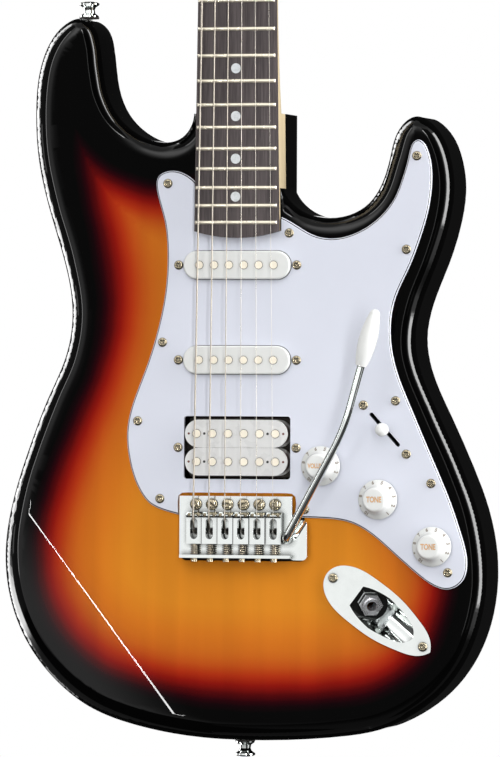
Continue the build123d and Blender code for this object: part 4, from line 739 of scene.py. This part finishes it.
# --- frets ----------------------------------------------------------------------------------------
BOARD_RADIUS = 0.241
CROWN_HEIGHT, CROWN_HALF, END_ROUND = 0.00108, 0.00118, 0.0011
board_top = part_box("fretboard")[0].y
parts = []
for group in islands("frets"):
    half = float(group[:, 0].max()) - 0.0001
    z = float(middle(group).z)
    verts, faces = [], []
    across, round_steps = 28, 8
    for i in range(across + 1):
        x = half * math.sin(math.pi / 2 * (2 * i / across - 1))
        surface_y = board_top + x * x / (2 * BOARD_RADIUS)
        end = min(1.0, (half - abs(x)) / END_ROUND)
        crown = CROWN_HEIGHT * math.sqrt(max(0.02, 1 - (1 - end) ** 2))
        for k in range(round_steps + 1):
            turn = math.pi * k / round_steps
            verts.append((x, surface_y - crown * math.sin(turn), z + CROWN_HALF * math.cos(turn)))
    row = round_steps + 1
    for i in range(across):
        for k in range(round_steps):
            a = i * row + k
            faces.append((a, a + 1, a + 1 + row, a + row))
    parts.append((verts, faces))
frets = mesh_object("frets_crowned", *joined(parts), fretwire, "fretwire")
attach(frets, "guitar")
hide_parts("frets")

# --- strings ----------------------------------------------------------------------------------------
def level(group, z):
    """The string's centre where it turns at z."""
    near = group[np.abs(group[:, 2] - z) < 0.0009]
    return (near.min(0) + near.max(0)) / 2


IN_BLOCK_Y = -0.006  # behind this a string is inside the tremolo block
POST_WAIST = 0.0026
WRAP_TURNS, WRAP_STEPS = 3, 24
string_groups = sorted(islands("strings"), key=lambda g: float(g[:, 0].min()))
for i, (group, radius) in enumerate(zip(string_groups, STRING_RADII)):
    at_break, at_nut = level(group, BREAK_Z), level(group, NUT_REAR)
    end_z = float(group[:, 2].max())
    at_post = level(group, end_z)
    low = group[group[:, 1] > IN_BLOCK_Y]
    start = (low.min(0) + low.max(0)) / 2
    hole_z = float(start[2])
    line = [(start[0], y, hole_z) for y in np.linspace(-0.003, at_break[1] + 0.0022, 8)]
    line += [(at_break[0], at_break[1] + 0.0007, 0.1405), (at_break[0], at_break[1] + 0.0001, 0.1432)]
    for z in (0.144, 0.1446, 0.146, 0.148, 0.150, 0.153, 0.156, 0.170, 0.300, 0.500, 0.700, 0.798):
        share = (z - BREAK_Z) / (NUT_REAR - BREAK_Z)
        line.append(tuple(at_break + (at_nut - at_break) * share))
    line += [tuple(at_nut), tuple(at_nut + (at_post - at_nut) * 0.5), tuple(at_post)]
    for p in range(len(line)):
        line[p] = tuple(float(c) for c in line[p])
    metal = wound if i < 3 else plain
    obj = mesh_object(f"string_{i + 1}", *tube(line, radius * MM, 10), metal, "string_steel")
    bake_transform(obj)
    if i == 0:
        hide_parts("strings")
    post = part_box(f"tuner_post_{i + 1}")
    post_x, post_z = (post[0].x + post[1].x) / 2, (post[0].z + post[1].z) / 2
    around = POST_WAIST + radius * MM
    coil = []
    for k in range(WRAP_TURNS * WRAP_STEPS + 1):
        turn = 2 * math.pi * k / WRAP_STEPS
        height = float(at_post[1]) + k / WRAP_STEPS * 2 * radius * MM
        coil.append((post_x + around * math.cos(turn), height, post_z + around * math.sin(turn)))
    wrap = mesh_object(f"string_wrap_{i + 1}", *tube(coil, radius * MM, 8), metal, "string_steel")
    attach(wrap, f"post_{i + 1}")


# --- coil springs --------------------------------------------------------------------------------------
def ends(group):
    """The lower and upper ends of a spring's upright middle line."""
    centre = middle(group)
    low, high = float(group[:, 2].min()), float(group[:, 2].max())
    return Vector((centre.x, centre.y, low)), Vector((centre.x, centre.y, high))


def coil_points(start, end, radius, turns, steps=14):
    points = []
    for k in range(int(turns * steps) + 1):
        share = k / (turns * steps)
        turn = 2 * math.pi * k / steps
        middle_line = start + (end - start) * share
        points.append(middle_line + Vector((radius * math.cos(turn), radius * math.sin(turn), 0)))
    return points


parts = []
for group in islands("intonation_springs"):
    start, end = ends(group)
    parts.append(tube(coil_points(start, end, radius=0.0021, turns=5.5), radius=0.0004, sides=6))
obj = mesh_object("intonation_coils", *joined(parts), spring_metal, "spring_steel")
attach(obj, "tremolo")
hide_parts("intonation_springs")

for number, group in enumerate(islands("tremolo_springs")):
    start, end = ends(group)
    coil = coil_points(start, end, radius=0.0034, turns=58)
    hook = [start + Vector((0, -0.004, -0.006)), start + Vector((0, -0.003, -0.001))]
    tail = [end + Vector((0, 0, 0.002)), end + Vector((0, 0, 0.0055))]
    wire = tube(hook + coil + tail, radius=0.0005, sides=6)
    obj = mesh_object(f"tremolo_coil_{number + 1}", *wire, steel, "spring_steel")
    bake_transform(obj)
    if number == 0:
        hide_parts("tremolo_springs")


# --- knobs -----------------------------------------------------------------------------------------------
KNOB_PROFILE = [
    (11.6, 3.5), (12.5, 3.45), (12.7, 3.8), (12.65, 4.3), (12.3, 4.75), (11.2, 5.3), (10.0, 6.0),
    (9.2, 7.0), (8.7, 8.4), (8.2, 11.0), (7.7, 13.4), (7.4, 14.5), (6.9, 15.05), (6.2, 15.15),
    (3.0, 15.15), (0.02, 15.15),
]  # fmt: skip


WORD_HEIGHT, WORD_ACROSS, WORD_UP = 15.19, 0.82, 1.15  # height above the face, and its stretch
NUMERAL_RADIUS, NUMERAL_STEP, FIRST_NUMERAL = 11.05, 31.5, -52  # angles in degrees


def letters(text, size):
    """Flat outlines of a text as (vertices, faces) centred on the origin, in millimetres."""
    curve = bpy.data.curves.new("letters", "FONT")
    curve.body = text
    curve.size = size
    curve.align_x = "CENTER"
    curve.align_y = "CENTER"
    curve.offset = 0.03 * size
    holder = bpy.data.objects.new("letters", curve)
    bpy.context.scene.collection.objects.link(holder)
    bpy.context.view_layer.update()
    mesh = bpy.data.meshes.new_from_object(holder.evaluated_get(bpy.context.evaluated_depsgraph_get()))
    verts = [(v.co.x, v.co.y) for v in mesh.vertices]
    faces = [tuple(p.vertices) for p in mesh.polygons]
    bpy.data.objects.remove(holder)
    return verts, faces


def skirt_height(radius):
    """Height of the knob's surface at a radius on its skirt."""
    rounds = KNOB_PROFILE[3:9]
    for (r1, h1), (r2, h2) in zip(rounds, rounds[1:]):
        if r2 <= radius <= r1:
            return h1 + (h2 - h1) * (r1 - radius) / (r1 - r2)
    return rounds[0][1]


for node, word in (("volume_knob", "VOLUME"), ("tone_knob_neck", "TONE"), ("tone_knob_middle", "TONE")):
    low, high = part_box(node)
    x, z = (low.x + high.x) / 2, (low.z + high.z) / 2
    centre = Vector((x, FACE_Y, z))
    shell = lathe(KNOB_PROFILE, centre, (0, -1, 0), 72)
    knob = mesh_object(f"{node}_shell", *shell, white_plastic, "white_plastic")
    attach(knob, node)
    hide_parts(node)
    verts, faces = letters(word, 4.4 if word == "TONE" else 3.6)
    top = [(x + u * WORD_ACROSS * MM, FACE_Y - WORD_HEIGHT * MM, z + v * WORD_UP * MM) for u, v in verts]
    label = mesh_object(f"{node}_word", top, faces, lettering, "white_plastic", smooth=False)
    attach(label, node)
    parts = []
    for value in range(1, 11):
        angle = math.radians(FIRST_NUMERAL + (value - 1) * NUMERAL_STEP)
        out = Vector((math.cos(angle), 0, math.sin(angle)))
        along = Vector((math.sin(angle), 0, -math.cos(angle)))
        verts, faces = letters(str(value), 2.9)
        placed = []
        for u, v in verts:
            radius = NUMERAL_RADIUS + v
            spot = centre + (out * radius + along * u) * MM
            spot.y = FACE_Y - (skirt_height(min(max(radius, 9.3), 12.2)) + 0.06) * MM
            placed.append(spot)
        parts.append((placed, faces))
    ring = mesh_object(f"{node}_numerals", *joined(parts), numerals, "white_plastic", smooth=False)
    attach(ring, node)

# --- camera -----------------------------------------------------------------------------------------------
AZIMUTH = math.radians(14.0)
DISTANCE = 4.5
FRAME_HEIGHT = 0.4853
SENSOR_WIDTH = 36.0
back = Vector((math.sin(AZIMUTH), -math.cos(AZIMUTH), 0))
right = Vector((math.cos(AZIMUTH), math.sin(AZIMUTH), 0))
target = Vector((0.00781, FACE_Y, 0.232))
camera_data = bpy.data.cameras.new("camera")
camera_data.sensor_width = SENSOR_WIDTH
camera_data.lens = SENSOR_WIDTH * DISTANCE / FRAME_HEIGHT
camera_data.clip_end = 60.0
camera = bpy.data.objects.new("camera", camera_data)
bpy.context.scene.collection.objects.link(camera)
camera.location = target + back * DISTANCE
roll = math.radians(0.218)
camera_up = Vector((0, 0, 1)) * math.cos(roll) - right * math.sin(roll)
turned = np.column_stack([camera_up.cross(back), camera_up, back])
camera.rotation_mode = "QUATERNION"
camera.rotation_quaternion = Matrix(turned.tolist()).to_quaternion()
bpy.context.scene.camera = camera
bpy.context.scene.view_settings.view_transform = "Standard"

# --- light ------------------------------------------------------------------------------------------------
world = bpy.data.worlds.new("studio")
bpy.context.scene.world = world
world.use_nodes = True
tree = world.node_tree
background = tree.nodes["Background"]
place = tree.nodes.new("ShaderNodeTexCoord")
split = tree.nodes.new("ShaderNodeSeparateXYZ")
tree.links.new(place.outputs["Generated"], split.inputs["Vector"])
degree = math.pi / 180
azimuth = maths(tree, "ARCTAN2", split.outputs["X"], maths(tree, "MULTIPLY", split.outputs["Y"], -1.0))
azimuth = maths(tree, "DIVIDE", azimuth, degree)
elevation = maths(tree, "DIVIDE", maths(tree, "ARCSINE", split.outputs["Z"], 0.0), degree)


def band(value, low, high, soft):
    rise = ranged(tree, value, 0, 1, low - soft, low + soft)
    fall = ranged(tree, value, 1, 0, high - soft, high + soft)
    return maths(tree, "MULTIPLY", rise, fall)


def panel(azimuths, elevations, soft=3.0):
    return maths(tree, "MULTIPLY", band(azimuth, *azimuths, soft), band(elevation, *elevations, soft))


light = 1.0
# each panel: its azimuths and elevations in degrees, its soft edge, and how much light it adds
for azimuths, elevations, soft, change in (
    ((30, 66), (-70, 60), 2.0, -0.93),
    ((97, 183), (-70, 75), 2.0, -0.985),
    ((-59, -22), (-70, 20), 4.0, -0.35),
    ((-101, -61), (-70, 60), 2.0, -0.90),
    ((-183, -128), (-70, 75), 2.0, -0.985),
    ((-181, 181), (-91, -24), 4.0, -0.90),
    ((-181, 181), (62, 91), 6.0, -0.60),
    ((74, 96), (-15, 50), 2.0, 12.0),
    ((24, 27.5), (-15, 50), 0.8, 18.0),
    ((-126, -103), (-22, 50), 2.0, 7.0),
    ((-62, -59), (-15, 40), 1.0, 5.0),
    ((-45, 5), (22, 58), 8.0, 1.0),
):
    light = maths(tree, "ADD", light, maths(tree, "MULTIPLY", panel(azimuths, elevations, soft), change))
DARKEST = 0.012
light = maths(tree, "MAXIMUM", light, DARKEST)
# a distant thin lamp that draws the bright line along the forearm contour
LINE_AZIMUTH, LINE_ELEVATION = -23.2, -7.0
LINE_COS, LINE_SIN = 0.797, 0.605
LINE_HALF_LENGTH, LINE_LIGHT = 4.0, 150.0
sideways = maths(tree, "SUBTRACT", azimuth, LINE_AZIMUTH)
upwards = maths(tree, "SUBTRACT", elevation, LINE_ELEVATION)
across = maths(
    tree, "ADD", maths(tree, "MULTIPLY", sideways, LINE_COS), maths(tree, "MULTIPLY", upwards, LINE_SIN)
)
lengthwise = maths(
    tree, "SUBTRACT", maths(tree, "MULTIPLY", upwards, LINE_COS), maths(tree, "MULTIPLY", sideways, LINE_SIN)
)
thickness = ranged(tree, lengthwise, 0.5, 0.22, -3.5, 1.0)
line = ranged(tree, maths(tree, "DIVIDE", maths(tree, "ABSOLUTE", across, 0.0), thickness), 1, 0, 0.7, 1.0)
line = maths(tree, "MULTIPLY", line, band(lengthwise, -LINE_HALF_LENGTH, LINE_HALF_LENGTH, 0.2))
light = maths(tree, "ADD", light, maths(tree, "MULTIPLY", line, LINE_LIGHT))
# plain white behind the guitar in the usual views
for azimuths, elevations in (((-172, -160), (-6, 6)), ((-140, -130), (-30, -20)), ((41, 49), (-19, -11)),
                             ((-94, -86), (-7, 1)), ((175, 181), (-7, 1)), ((-181, -175), (-7, 1))):
    shown = panel(azimuths, elevations, 0.3)
    light = maths(tree, "ADD", maths(tree, "MULTIPLY", light, maths(tree, "SUBTRACT", 1.0, shown)), shown)
tree.links.new(light, background.inputs["Strength"])
background.inputs["Color"].default_value = (1.0, 1.0, 1.0, 1.0)

# --- size ---------------------------------------------------------------------------------------------------
low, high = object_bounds()
